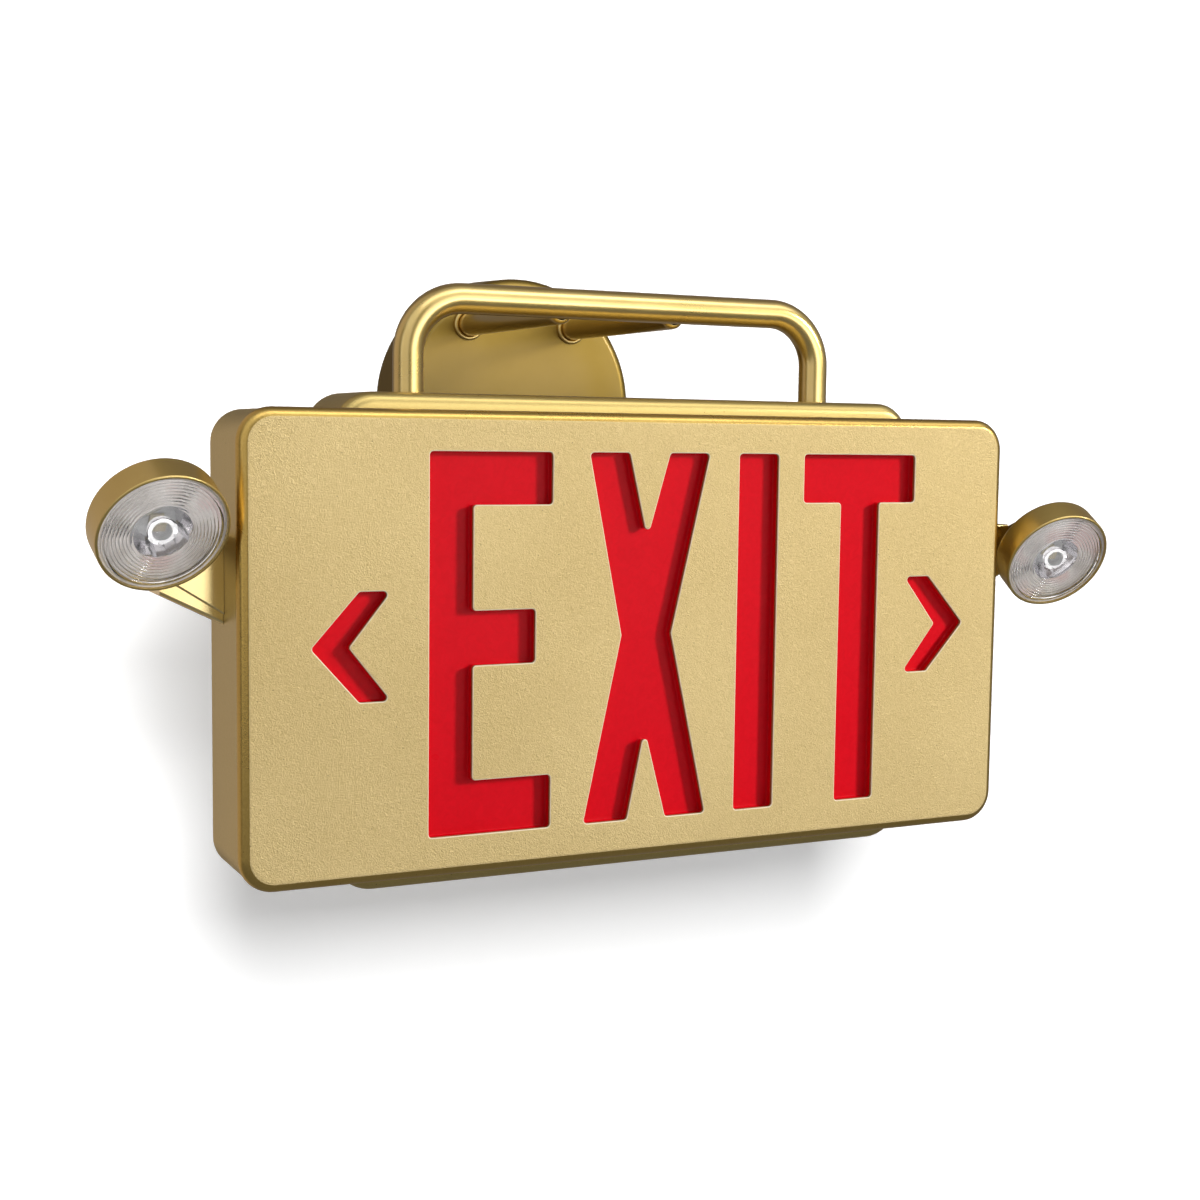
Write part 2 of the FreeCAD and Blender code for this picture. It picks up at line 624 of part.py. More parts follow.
def crossbar():
    """Steel strap screwed to the wall box; its tabs take the canopy screws."""
    end = CANOPY_R - 10.5
    tab_r = CANOPY_R - 7.3
    bar = box(-end, end, -1.8, 0.0, -12.0, 12.0)
    bar = bar.makeFillet(3.0, [e for e in bar.Edges if e.BoundBox.YLength > 1 and e.BoundBox.XLength < 0.01])
    a = math.radians(SET_SCREW_DEG[1])
    c = V(math.cos(a), 0, math.sin(a))
    side = V(-c.z, 0, c.x)
    tabs = []
    for s in (-1, 1):
        out = V(s * c.x, 0, c.z)
        along = V(s * side.x, 0, side.z)
        foot = [out * 8, out * tab_r]
        pts = []
        for base, sign in ((foot[0], -1), (foot[0], 1), (foot[1], 1), (foot[1], -1), (foot[0], -1)):
            pts.append(base + along * (7.0 * sign) + V(0, -1.8, 0))
        leg = Part.Face(Part.makePolygon(pts)).extrude(V(0, 1.8, 0))
        tab = out * (tab_r - 1.8)
        pts = []
        for base, sign in ((tab, -1), (tab, 1), (foot[1], 1), (foot[1], -1), (tab, -1)):
            pts.append(base + along * (7.0 * sign) + V(0, -15.0, 0))
        flap = Part.Face(Part.makePolygon(pts)).extrude(V(0, 14.0, 0))
        tabs += [leg, flap]
    bar = fuse([bar] + tabs)
    for s in (-1, 1):
        out = V(s * c.x, 0, c.z)
        hole = Part.makeCylinder(1.6, 12, out * (tab_r - 6) + V(0, -9, 0), out)
        bar = bar.cut(hole)
        x = s * BOX_PITCH / 2
        slot = box(x - 2.4, x + 2.4, -3, 1, -2.5, 2.5)
        ends = [rod(2.5, (x + e, -3, 0), (x + e, 1, 0)) for e in (-2.4, 2.4)]
        bar = bar.cut(fuse([slot] + ends))
    return bar.cut(rod(5.0, (0, -3, 0), (0, 1, 0)))


def canopy_screws():
    screws = []
    for deg in SET_SCREW_DEG:
        a = math.radians(deg)
        r = CANOPY_R - CANOPY_DRAFT * 9 / CANOPY_D + 0.1
        head = (r * math.cos(a), -9, r * math.sin(a))
        tip = ((r - 14) * math.cos(a), -9, (r - 14) * math.sin(a))
        screws.append(pan_screw(tip, head, 1.55, 3.0, 1.6))
    return group(screws)


# ---- lamp heads ---------------------------------------------------------
def head_axes(s):
    """Right, up and outward directions of a lamp head."""
    t = math.radians(TOE_IN)
    p = math.radians(AIM_DOWN)
    n = V(-s * math.sin(t) * math.cos(p), -math.cos(t) * math.cos(p), -math.sin(p))
    u = (V(0, 0, 1) - n * n.z).normalize()
    return u.cross(n), u, n


def lens_centre(s):
    return V(s * (SIGN_W / 2 + HEAD_R + HEAD_GAP), HEAD_Y, HEAD_Z[s])


def place_head(shape, s):
    """Carry a shape drawn on the Z axis (lens plane at 0) to the head."""
    r, u, n = head_axes(s)
    c = lens_centre(s)
    m = FreeCAD.Matrix(r.x, u.x, n.x, c.x, r.y, u.y, n.y, c.y, r.z, u.z, n.z, c.z, 0, 0, 0, 1)
    copy = shape.copy()
    copy.Placement = FreeCAD.Placement(m).multiply(copy.Placement)
    return copy


def zcyl(r, z0, z1):
    return Part.makeCylinder(r, z1 - z0, V(0, 0, z0))


def head_shell():
    """Shallow cup; the lens sits on a step inside its bright lip."""
    cup = zcyl(HEAD_R, -HEAD_D, 0.8)
    back = [e for e in cup.Edges if e.isClosed() and abs(e.BoundBox.ZMax + HEAD_D) < 0.01]
    lip = [e for e in cup.Edges if e.isClosed() and abs(e.BoundBox.ZMin - 0.8) < 0.01]
    cup = cup.makeFillet(2.5, back).makeFillet(0.7, lip)
    cup = cup.cut(zcyl(LENS_R + 0.1, -LENS_T, 2))
    cup = cup.cut(zcyl(LENS_R - 1.2, -HEAD_D + 1.6, 0))
    pin = -HEAD_D - LUG_BACK
    lug = Part.makeCylinder(4.5, 5.0, V(0, -2.5, pin), V(0, 1, 0))
    lug = lug.fuse(Part.makeBox(9.0, 5.0, LUG_BACK + 0.5, V(-4.5, -2.5, pin)))
    cup = fuse([cup, lug])
    cup = cup.cut(Part.makeCylinder(1.55, 7.0, V(0, -3.5, pin), V(0, 1, 0)))
    return cup


def head_lens():
    """Clear disc with concentric prism rings and a centre dome."""
    disc = zcyl(LENS_R, -LENS_T, 0)
    pitch = (LENS_R - 13.4) / 6
    for i in range(6):
        r = 12.4 + pitch * i
        top = r + pitch * 0.75
        pts = [V(r, 0, 0.01), V(top, 0, 0.01), V((r + top) / 2, 0, -0.55), V(r, 0, 0.01)]
        groove = Part.Face(Part.makePolygon(pts)).revolve(V(0, 0, 0), V(0, 0, 1), 360)
        disc = disc.cut(groove)
    dome = zcyl(5.6, -7.4, -LENS_T + 0.2)
    return fuse([disc, dome])


def head_reflector():
    """Faceted mirror cone with a flat rim, between the board and the lens."""
    rings = []
    for r, z in ((11.4, -LENS_T - 0.1), (7.2, -9.8), (10.6, -9.8), (12.4, -LENS_T - 0.1)):
        pts = [V(r * math.cos(math.pi * k / 8), r * math.sin(math.pi * k / 8), z) for k in range(17)]
        rings.append(Part.makePolygon(pts))
    cone = Part.makeLoft([rings[3], rings[2]], True, True)
    rim = zcyl(LENS_R - 1.5, -LENS_T - 1.2, -LENS_T - 0.2).cut(zcyl(11.6, -LENS_T - 2, 0))
    whole = fuse([cone, rim])
    return whole.cut(Part.makeLoft([rings[0], rings[1]], True, True))


def head_board():
    z = -HEAD_D + 1.7
    return zcyl(14.0, z, z + 1.5)


def head_led():
    z = -HEAD_D + 3.25
    base = Part.makeBox(5.0, 5.0, 0.9, V(-2.5, -2.5, z))
    die = Part.makeBox(3.0, 3.0, 0.5, V(-1.5, -1.5, z + 0.8))
    return fuse([base, die])


def head_pin():
    pin = -HEAD_D - LUG_BACK
    shaft = Part.makeCylinder(1.5, 10.9, V(0, -5.45, pin), V(0, 1, 0))
    return shaft.fuse(Part.makeCylinder(2.6, 1.0, V(0, 5.2, pin), V(0, 1, 0)))


def arm_fork():
    """Fork that holds the head's lug, in the head's own axes."""
    pin = -HEAD_D - LUG_BACK
    solids = [Part.makeBox(9.0, 10.4, 4.0, V(-4.5, -5.2, pin - 9.0))]
    for y in (-5.2, 2.6):
        ear = Part.makeCylinder(4.5, 2.6, V(0, y, pin), V(0, 1, 0))
        solids += [ear, Part.makeBox(9.0, 2.6, 7.0, V(-4.5, y, pin - 7.0))]
    fork = fuse(solids)
    return fork.cut(Part.makeCylinder(1.51, 20.0, V(0, -10, pin), V(0, 1, 0)))


BRACKET_END = SIGN_W / 2 + BRACKET_OUT


def lamp_arm(s):
    """Barrel on the bracket, a short bar and the fork, cast in one."""
    n = head_axes(s)[2]
    q = lens_centre(s) - n * (HEAD_D + LUG_BACK + 7.0)
    x0 = BRACKET_END + 0.3
    barrel = rod(8.0, (s * x0, AXIS_Y, AXIS_Z), (s * (x0 + 11.0), AXIS_Y, AXIS_Z))
    rim = [e for e in barrel.Edges if e.isClosed() and abs(abs(e.BoundBox.XMax) - x0 - 11.0) < 0.6]
    barrel = barrel.makeFillet(1.5, rim)
    a = V(s * (x0 + 1.5), AXIS_Y, AXIS_Z)
    b = V(a.x, q.y, q.z)
    d = (b - a).normalize()
    w = V(1, 0, 0).cross(d)
    pts = [a + w * 5, b + w * 5, b - w * 5, a - w * 5, a + w * 5]
    bar = Part.Face(Part.makePolygon(pts)).extrude(V(s * 11.0, 0, 0))
    bar = bar.fuse(Part.makeCylinder(5.0, 11.0, b, V(s, 0, 0)))
    spigot = rod(4.0, (s * (BRACKET_END - 9.0), AXIS_Y, AXIS_Z), (s * (x0 + 2), AXIS_Y, AXIS_Z))
    arm = fuse([barrel, bar, spigot, place_head(arm_fork(), s)])
    gap = zcyl(HEAD_R + 1.0, -HEAD_D - 0.6, 2.0)
    arm = arm.cut(place_head(gap, s))
    slot = Part.makeBox(14.0, 5.3, LUG_BACK + 5.0, V(-7.0, -2.65, -HEAD_D - LUG_BACK - 4.9))
    arm = arm.cut(place_head(slot, s))
    return arm.cut(rod(2.4, (s * (BRACKET_END - 10), AXIS_Y, AXIS_Z), (s * (x0 + 6), AXIS_Y, AXIS_Z)))


def arm_nut(s):
    x0 = BRACKET_END - 3.3 - 3.2
    nut = hexagon(12.0, 3.0, (s * x0, AXIS_Y, AXIS_Z), (1, 0, 0))
    if s < 0:
        nut = hexagon(12.0, 3.0, (-x0 - 3.0, AXIS_Y, AXIS_Z), (1, 0, 0))
    return nut.cut(rod(4.02, (s * (x0 - 1), AXIS_Y, AXIS_Z), (s * (x0 + 4), AXIS_Y, AXIS_Z)))


def wedge(s, x0, x1, y0, y1, low, end_low, high, r):
    """Loft from an upright base to a shorter end; heights are from the axis."""
    z_low = AXIS_Z + low
    z_end_low = AXIS_Z + end_low
    z_high = AXIS_Z + high
    wires = []
    for x, low in ((x0, z_low), (x1, z_end_low)):
        pts = [(y0, low), (y1, low), (y1, z_high), (y0, z_high)]
        flat = rounded_outline(pts, [r] * 4, 0.0)
        turn = FreeCAD.Rotation(V(0, 0, 1), 90)
        flat.Placement = FreeCAD.Placement(V(s * x, 0, 0), turn)
        wires.append(flat)
    return Part.makeLoft(wires, True, True)


def lamp_bracket(s):
    """Hollow wedge on the case side; the arm's spigot turns in its end."""
    x0 = SIDE_X + 0.1
    front = AXIS_Y - 10.6
    outer = wedge(s, x0, BRACKET_END, front + 1.2, AXIS_Y + 10.5, -25.5, -13.5, 9.5, 1.6)
    outer = outer.fuse(wedge(s, x0, BRACKET_END, front, AXIS_Y, -21.5, -6.3, 9.5, 0.9))
    inner = wedge(s, x0 + 2.4, BRACKET_END - 3.0, front + 2.2, AXIS_Y + 8.5, -21.8, -12.0, 7.5, 2.0)
    body = outer.cut(inner)
    for y, z in BRACKET_SCREW_YZ:
        boss = rod(3.2, (s * (x0 + 1), y, z), (s * (x0 + 5.5), y, z))
        body = fuse([body, boss.common(outer)])
        body = body.cut(rod(1.45, (s * (x0 - 1), y, z), (s * (x0 + 5.0), y, z)))
    body = body.cut(rod(3.5, (s * (x0 - 1), AXIS_Y, WIRE_Z), (s * (x0 + 4), AXIS_Y, WIRE_Z)))
    end = s * (BRACKET_END + 1)
    return body.cut(rod(4.05, (s * (BRACKET_END - 5), AXIS_Y, AXIS_Z), (end, AXIS_Y, AXIS_Z)))


def bracket_screws():
    screws = []
    for s in (-1, 1):
        for y, z in BRACKET_SCREW_YZ:
            head = (s * (SIDE_X - WALL - 0.05), y, z)
            screws.append(pan_screw((s * (SIDE_X + 4.4), y, z), head, 1.4, 2.8, 1.7))
    return group(screws)


# ---- write every piece --------------------------------------------------
PIECES = {
    "front_cover": front_cover,
    "red_diffuser": red_diffuser,
    "rear_case": rear_case,
    "rear_plate": rear_plate,
    "rear_plate_screws": rear_plate_screws,
    "light_tray": light_tray,
    "tray_screws": tray_screws,
    "led_strips": led_strips,
    "sign_leds": sign_leds,
    "chassis_plate": chassis_plate,
    "battery_cells": battery_cells,
    "battery_strap": battery_strap,
    "charger_board": charger_board,
    "board_spacers": board_spacers,
    "board_screws": board_screws,
    "transformer": transformer,
    "capacitors": capacitors,
    "relay": relay,
    "terminal_block": terminal_block,
    "test_switch": test_switch,
    "switch_board": switch_board,
    "test_button": test_button,
    "charge_indicator": charge_indicator,
    "hanger_tube": hanger_tube,
    "lock_nuts": lock_nuts,
    "lock_washers": lock_washers,
    "arm_rods": arm_rods,
    "rod_collars": rod_collars,
    "rod_nuts": rod_nuts,
    "rod_washers": rod_washers,
    "wall_canopy": wall_canopy,
    "crossbar": crossbar,
    "canopy_screws": canopy_screws,
    "bracket_screws": bracket_screws,
}
for name, build in PIECES.items():
    save(build(), name)

HEAD_PIECES = {
    "head_shell": head_shell,
    "lens": head_lens,
    "reflector": head_reflector,
    "lamp_board": head_board,
    "lamp_led": head_led,
    "hinge_pin": head_pin,
}
for side, s in (("left", -1), ("right", 1)):
    save(lamp_bracket(s), side + "_bracket")
    save(lamp_arm(s), side + "_arm")
    save(arm_nut(s), side + "_arm_nut")
    for name, build in HEAD_PIECES.items():
        save(place_head(build(), s), side + "_" + name)
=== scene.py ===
import json
import math
import bmesh
import bpy
from mathutils import Matrix, Vector


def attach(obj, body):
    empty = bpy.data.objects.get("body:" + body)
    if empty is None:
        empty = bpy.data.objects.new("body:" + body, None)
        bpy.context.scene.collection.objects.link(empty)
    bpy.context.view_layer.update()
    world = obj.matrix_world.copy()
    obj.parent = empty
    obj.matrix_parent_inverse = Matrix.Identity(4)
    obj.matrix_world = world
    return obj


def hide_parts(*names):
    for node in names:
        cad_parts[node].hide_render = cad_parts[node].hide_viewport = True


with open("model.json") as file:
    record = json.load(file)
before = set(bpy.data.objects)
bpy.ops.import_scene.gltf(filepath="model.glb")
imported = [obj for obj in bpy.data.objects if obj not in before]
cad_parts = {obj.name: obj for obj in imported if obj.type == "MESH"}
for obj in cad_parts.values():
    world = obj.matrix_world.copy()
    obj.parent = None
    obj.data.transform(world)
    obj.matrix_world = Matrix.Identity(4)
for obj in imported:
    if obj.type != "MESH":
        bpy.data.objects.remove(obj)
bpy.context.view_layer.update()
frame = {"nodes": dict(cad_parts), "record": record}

# ---------------------------------------------------------------------------
# Studio: the sign on a plain white wall over a pale floor.  The key lamp stands in
# front on the right, in two parts, one without glare; the sign's other lamps are weak.
# Dark and pale cards that only reflections can see shape the gloss of the brass.
# ---------------------------------------------------------------------------
scene = bpy.context.scene
scene.view_settings.view_transform = "Standard"

YAW, PITCH, ROLL = math.radians(26.146), math.radians(5.254), math.radians(0.738)
CAMERA_PLACE = (-0.3422, -0.8228, -0.0163)
right = Vector((math.cos(YAW), -math.sin(YAW), 0.0))
ahead = Vector((math.sin(YAW) * math.cos(PITCH), math.cos(YAW) * math.cos(PITCH), -math.sin(PITCH)))
up = right.cross(ahead)
cam_x = right * math.cos(ROLL) + up * math.sin(ROLL)
cam_y = up * math.cos(ROLL) - right * math.sin(ROLL)
camera = bpy.data.objects.new("camera", bpy.data.cameras.new("camera"))
camera.data.lens = 52.656
camera.data.sensor_width = 36.0
camera.data.clip_start = 0.05
camera_turn = Matrix((cam_x, cam_y, -ahead)).transposed().to_4x4()
camera.matrix_world = Matrix.Translation(CAMERA_PLACE) @ camera_turn
scene.collection.objects.link(camera)
scene.camera = camera


def studio_lamp(name, place, target, size, power, colour=(1.0, 1.0, 1.0), size_y=None):
    """Area lamp at place, aimed at target."""
    data = bpy.data.lights.new(name, "AREA")
    data.shape = "RECTANGLE"
    data.size = size
    data.size_y = size_y or size
    data.energy = power
    data.color = colour
    lamp = bpy.data.objects.new(name, data)
    lamp.location = place
    aim = Vector(target) - Vector(place)
    lamp.rotation_euler = aim.to_track_quat("-Z", "Y").to_euler()
    scene.collection.objects.link(lamp)
    return lamp


SIGN_MID = (0.0, -0.17, -0.08)
KEY_PLACE = (1.75, -1.62, 0.62)
key = studio_lamp("key", KEY_PLACE, SIGN_MID, 0.36, 17.0, (1.0, 0.985, 0.955), 0.42)
flat_key = studio_lamp("key without glare", KEY_PLACE, SIGN_MID, 0.36, 31.0, size_y=0.42)
flat_key.visible_glossy = False
front = studio_lamp("front window", (0.46, -1.72, 0.12), SIGN_MID, 0.72, 2.7, size_y=1.0)
overhead = studio_lamp("overhead", (0.40, -0.80, 1.00), (0.0, -0.15, 0.0), 0.7, 1.0, size_y=0.30)
left = studio_lamp("left fill", (-1.45, -0.55, 0.15), SIGN_MID, 0.35, 0.5, size_y=1.1)

world = bpy.data.worlds.new("white room")
scene.world = world
world.use_nodes = True
nodes, links = world.node_tree.nodes, world.node_tree.links
nodes.clear()


def seen_directly(nodes, links):
    """1 for camera, glossy and transmission rays, 0 for the light itself."""
    path = nodes.new("ShaderNodeLightPath")
    first = nodes.new("ShaderNodeMath")
    first.operation = "MAXIMUM"
    both = nodes.new("ShaderNodeMath")
    both.operation = "MAXIMUM"
    links.new(path.outputs["Is Camera Ray"], first.inputs[0])
    links.new(path.outputs["Is Transmission Ray"], first.inputs[1])
    links.new(first.outputs[0], both.inputs[0])
    links.new(path.outputs["Is Glossy Ray"], both.inputs[1])
    return both.outputs[0]


room = nodes.new("ShaderNodeBackground")
room.inputs["Color"].default_value = (0.93, 0.96, 1.0, 1.0)
room.inputs["Strength"].default_value = 0.14
seen = nodes.new("ShaderNodeBackground")
seen.inputs["Color"].default_value = (1.0, 1.0, 1.0, 1.0)
seen.inputs["Strength"].default_value = 1.0
mix = nodes.new("ShaderNodeMixShader")
out = nodes.new("ShaderNodeOutputWorld")
links.new(seen_directly(nodes, links), mix.inputs["Fac"])
links.new(room.outputs[0], mix.inputs[1])
links.new(seen.outputs[0], mix.inputs[2])
links.new(mix.outputs[0], out.inputs["Surface"])


def blank_material(name):
    """Empty node material; returns it with its nodes, links and shader."""
    mat = bpy.data.materials.new(name)
    mat.use_nodes = True
    tree = mat.node_tree
    tree.nodes.clear()
    shader = tree.nodes.new("ShaderNodeBsdfPrincipled")
    output = tree.nodes.new("ShaderNodeOutputMaterial")
    tree.links.new(shader.outputs[0], output.inputs["Surface"])
    return mat, tree.nodes, tree.links, shader


def backdrop(name, corners, white, glow_strength):
    """White studio surface: its shadows stay, its open part reads as white,
    and it can't be seen from behind."""
    mat, nodes, links, shader = blank_material(name)
    shader.inputs["Base Color"].default_value = (white, white, white, 1.0)
    shader.inputs["Roughness"].default_value = 1.0
    shader.inputs["Specular IOR Level"].default_value = 0.0
    glow = nodes.new("ShaderNodeEmission")
    glow.inputs["Strength"].default_value = glow_strength
    both = nodes.new("ShaderNodeAddShader")
    choose = nodes.new("ShaderNodeMixShader")
    side = nodes.new("ShaderNodeMixShader")
    clear_back = nodes.new("ShaderNodeBsdfTransparent")
    facing = nodes.new("ShaderNodeNewGeometry")
    output = [n for n in nodes if n.type == "OUTPUT_MATERIAL"][0]
    links.new(shader.outputs[0], both.inputs[0])
    links.new(glow.outputs[0], both.inputs[1])
    links.new(seen_directly(nodes, links), choose.inputs["Fac"])
    links.new(shader.outputs[0], choose.inputs[1])
    links.new(both.outputs[0], choose.inputs[2])
    links.new(facing.outputs["Backfacing"], side.inputs["Fac"])
    links.new(choose.outputs[0], side.inputs[1])
    links.new(clear_back.outputs[0], side.inputs[2])
    links.new(side.outputs[0], output.inputs["Surface"])
    mesh = bpy.data.meshes.new(name)
    mesh.from_pydata(corners, [], [(0, 1, 2, 3)])
    mesh.materials.append(mat)
    obj = bpy.data.objects.new(name, mesh)
    scene.collection.objects.link(obj)
    return obj


def level(x0, x1, y0, y1, z):
    """Corners of a rectangle that lies flat at height z and faces up."""
    return [(x0, y0, z), (x1, y0, z), (x1, y1, z), (x0, y1, z)]


def upright(start, end, z0, z1):
    """Corners of a rectangle that stands on the line from start to end."""
    (x0, y0), (x1, y1) = start, end
    return [(x0, y0, z0), (x1, y1, z0), (x1, y1, z1), (x0, y0, z1)]


FLOOR_Z, WALL_Y = -0.46, 0.0008
floor = backdrop("floor", level(-6, 6, -6, WALL_Y, FLOOR_Z), 0.30, 0.88)
wall = backdrop("wall", upright((-6, WALL_Y), (6, WALL_Y), FLOOR_Z, 5), 0.88, 0.31)

# The wall has a lamp of its own, nearly square on, so that the sign's shadow
# stays close behind it; the lamps on the sign leave the wall alone.
wash = studio_lamp("wall wash", (-0.42, -2.0, 0.80), SIGN_MID, 0.80, 66.0)
backs = bpy.data.collections.new("backdrop")
others = bpy.data.collections.new("not the backdrop")
for surface in (floor, wall):
    backs.objects.link(surface)
    others.objects.link(surface)
wash.light_linking.receiver_collection = backs
for entry in others.collection_objects:
    entry.light_linking.link_state = "EXCLUDE"
for lamp in (key, flat_key, front, overhead, left):
    lamp.light_linking.receiver_collection = others


def reflection_card(name, corners, tone, warmth=1.0):
    """Card that only reflections can see; a warmth below 1 turns it to amber."""
    mat, nodes, links, shader = blank_material(name)
    shader.inputs["Base Color"].default_value = (0.0, 0.0, 0.0, 1.0)
    shader.inputs["Specular IOR Level"].default_value = 0.0
    shader.inputs["Emission Color"].default_value = (tone, tone * warmth, tone * warmth * warmth, 1.0)
    shader.inputs["Emission Strength"].default_value = 1.0
    mesh = bpy.data.meshes.new(name)
    mesh.from_pydata(corners, [], [(0, 1, 2, 3)])
    mesh.materials.append(mat)
    card = bpy.data.objects.new(name, mesh)
    card.visible_camera = False
    card.visible_diffuse = False
    card.visible_transmission = False
    card.visible_shadow = False
    scene.collection.objects.link(card)


low = FLOOR_Z + 0.01
CARD_Y, CARD_TOP = 0.0004, 1.2
LEFT_X, RIGHT_X, FRONT_Y, ROOM_TOP = -2.4, 2.2, -2.4, 1.6
reflection_card("floor card", level(-3, 3, -3, 0, low), 0.20)
reflection_card("wall card", upright((-0.2, CARD_Y), (3, CARD_Y), low, CARD_TOP), 0.20, 0.85)
reflection_card("top card", level(-2, 2, -0.40, 0, 1.19), 0.42)
reflection_card("left wall card", upright((-3, CARD_Y), (-0.2, CARD_Y), low, CARD_TOP), 0.57, 0.85)
reflection_card("left card", upright((LEFT_X, -0.85), (LEFT_X, 0), low, ROOM_TOP), 0.14)
reflection_card("pale left card", upright((LEFT_X, FRONT_Y), (LEFT_X, -0.85), low, ROOM_TOP), 0.85, 0.97)
reflection_card("pale front card", upright((LEFT_X, FRONT_Y), (-0.8, FRONT_Y), low, ROOM_TOP), 0.85, 0.97)
reflection_card("front card", upright((-0.8, FRONT_Y), (-0.05, FRONT_Y), low, ROOM_TOP), 0.25)
reflection_card("bright right front card", upright((0.5, -2.38), (1.9, -2.38), low, 0.15), 2.9, 0.99)
reflection_card("pale top front card", level(-0.6, 1.3, -1.15, -0.60, 1.1), 2.4, 0.99)
reflection_card("right card", upright((RIGHT_X, FRONT_Y), (RIGHT_X, 0), low, ROOM_TOP), 0.30)

# ---------------------------------------------------------------------------
# Front cover: one injection moulding, sprayed satin brass.  A flat face with a
# rolled edge, six stencil openings with a small break on each edge, and a
# tongue behind the lip that snaps into the case.
# ---------------------------------------------------------------------------
MM = 0.001
COVER_W, COVER_H, COVER_R = 353.6, 184.7, 13.8
COVER_Z = -98.15
COVER_T = 1.5
FACE = -182.0
LETTER_H = 152.4


def corner_line(points, radii, steps=6):
    """Outline through points with every corner rounded."""
    line = []
    count = len(points)
    for i in range(count):
        p = Vector(points[i])
        a = (Vector(points[i - 1]) - p).normalized()
        b = (Vector(points[(i + 1) % count]) - p).normalized()
        half = a.angle(b) / 2.0
        hub = p + (a + b).normalized() * (radii[i] / math.sin(half))
        start = p + a * (radii[i] / math.tan(half)) - hub
        sweep = math.pi - 2.0 * half
        turn = sweep if a.x * b.y - a.y * b.x < 0 else -sweep
        for k in range(steps + 1):
            t = turn * k / steps
            line.append(hub + Vector((start.x * math.cos(t) - start.y * math.sin(t),
                                      start.x * math.sin(t) + start.y * math.cos(t))))
    return line


def plate_outline(w, h, r, inset=0.0, cz=COVER_Z, steps=10):
    """Round-cornered rectangle centred on height cz, moved inwards by inset."""
    x, z = w / 2 - inset, h / 2 - inset
    pts = [(-x, cz + z), (x, cz + z), (x, cz - z), (-x, cz - z)]
    return corner_line(pts, [max(0.4, r - inset)] * 4, steps)


STENCIL = {
    "E": [(-101.6, 0), (-49.2, 0), (-49.2, -20.9), (-83.4, -20.9), (-83.4, -62.8), (-56.4, -62.8),
          (-56.4, -84.5), (-83.4, -84.5), (-83.4, -130.7), (-49.2, -130.7),
          (-49.2, -LETTER_H), (-101.6, -LETTER_H)],
    "X": [(-32.7, 0), (-14.7, 0), (-6.1, -35.7), (4.3, 0), (22.9, 0), (5.5, -74.9),
          (23.1, -LETTER_H), (4.2, -LETTER_H), (-6.1, -114.0), (-14.1, -LETTER_H),
          (-34.0, -LETTER_H), (-17.4, -74.9)],
    "I": [(37.4, 0), (56.6, 0), (56.6, -LETTER_H), (37.4, -LETTER_H)],
    "T": [(69.7, 0), (127.5, 0), (127.5, -20.8), (108.6, -20.8),
          (108.6, -LETTER_H), (88.9, -LETTER_H), (88.9, -20.8), (69.7, -20.8)],
    "left": [(-130.1, -54.0), (-117.4, -54.0), (-134.5, -75.4),
             (-117.4, -96.8), (-130.1, -96.8), (-149.3, -75.4)],
    "right": [(123.6, -54.0), (136.5, -54.0), (155.7, -75.4),
              (136.5, -96.8), (123.6, -96.8), (140.4, -75.4)],
}
STENCIL_TOP = COVER_Z + LETTER_H / 2


def stencil_line(points, grow, r=1.5):
    """One stencil opening, its outline moved outwards by grow."""
    moved, radii = [], []
    count = len(points)
    for i in range(count):
        p = Vector(points[i])
        d1 = (p - Vector(points[i - 1])).normalized()
        d2 = (Vector(points[(i + 1) % count]) - p).normalized()
        n1, n2 = Vector((-d1.y, d1.x)), Vector((-d2.y, d2.x))
        moved.append(p + (n1 + n2) * (grow / (1.0 + n1.dot(n2))) + Vector((0, STENCIL_TOP)))
        radii.append(r + grow if d1.x * d2.y - d1.y * d2.x < 0 else max(0.4, r - grow))
    return corner_line(moved, radii)


def add_ring(bm, line, y):
    """Vertices along an outline, at depth y."""
    return [bm.verts.new((p.x * MM, y * MM, p.y * MM)) for p in line]


def join_rings(bm, a, b, slot=0):
    """Wall of four-sided faces between two rings of as many points."""
    count = len(a)
    for i in range(count):
        face = bm.faces.new((a[i], a[(i + 1) % count], b[(i + 1) % count], b[i]))
        face.material_index = slot


def fill_rings(bm, rings, slot=0):
    """Flat fill between an outer ring and the rings of its openings."""
    edges = []
    for ring in rings:
        for i in range(len(ring)):
            a, b = ring[i], ring[(i + 1) % len(ring)]
            edges.append(bm.edges.get((a, b)) or bm.edges.new((a, b)))
    made = bmesh.ops.triangle_fill(bm, use_beauty=True, use_dissolve=False, edges=edges)
    for item in made["geom"]:
        if isinstance(item, bmesh.types.BMFace):
            item.material_index = slot


def settle(obj):
    """Replace an object's mesh by what its modifiers make of it."""
    graph = bpy.context.evaluated_depsgraph_get()
    made = bpy.data.meshes.new_from_object(obj.evaluated_get(graph))
    obj.modifiers.clear()
    obj.data = made


def finish_mesh(bm, name, materials, sharp_deg=32.0, flat_weight=True):
    """Closed, outward, smooth-shaded mesh object at the origin."""
    bmesh.ops.remove_doubles(bm, verts=bm.verts, dist=1e-7)
    bmesh.ops.recalc_face_normals(bm, faces=bm.faces)
    for face in bm.faces:
        face.smooth = True
    for edge in bm.edges:
        if len(edge.link_faces) == 2 and edge.calc_face_angle(0.0) > math.radians(sharp_deg):
            edge.smooth = False
    mesh = bpy.data.meshes.new(name)
    bm.to_mesh(mesh)
    bm.free()
    for mat in materials:
        mesh.materials.append(mat)
    obj = bpy.data.objects.new(name, mesh)
    scene.collection.objects.link(obj)
    if flat_weight:
        mod = obj.modifiers.new("face weight", "WEIGHTED_NORMAL")
        mod.keep_sharp = True
        mod.weight = 100
        settle(obj)
    return obj


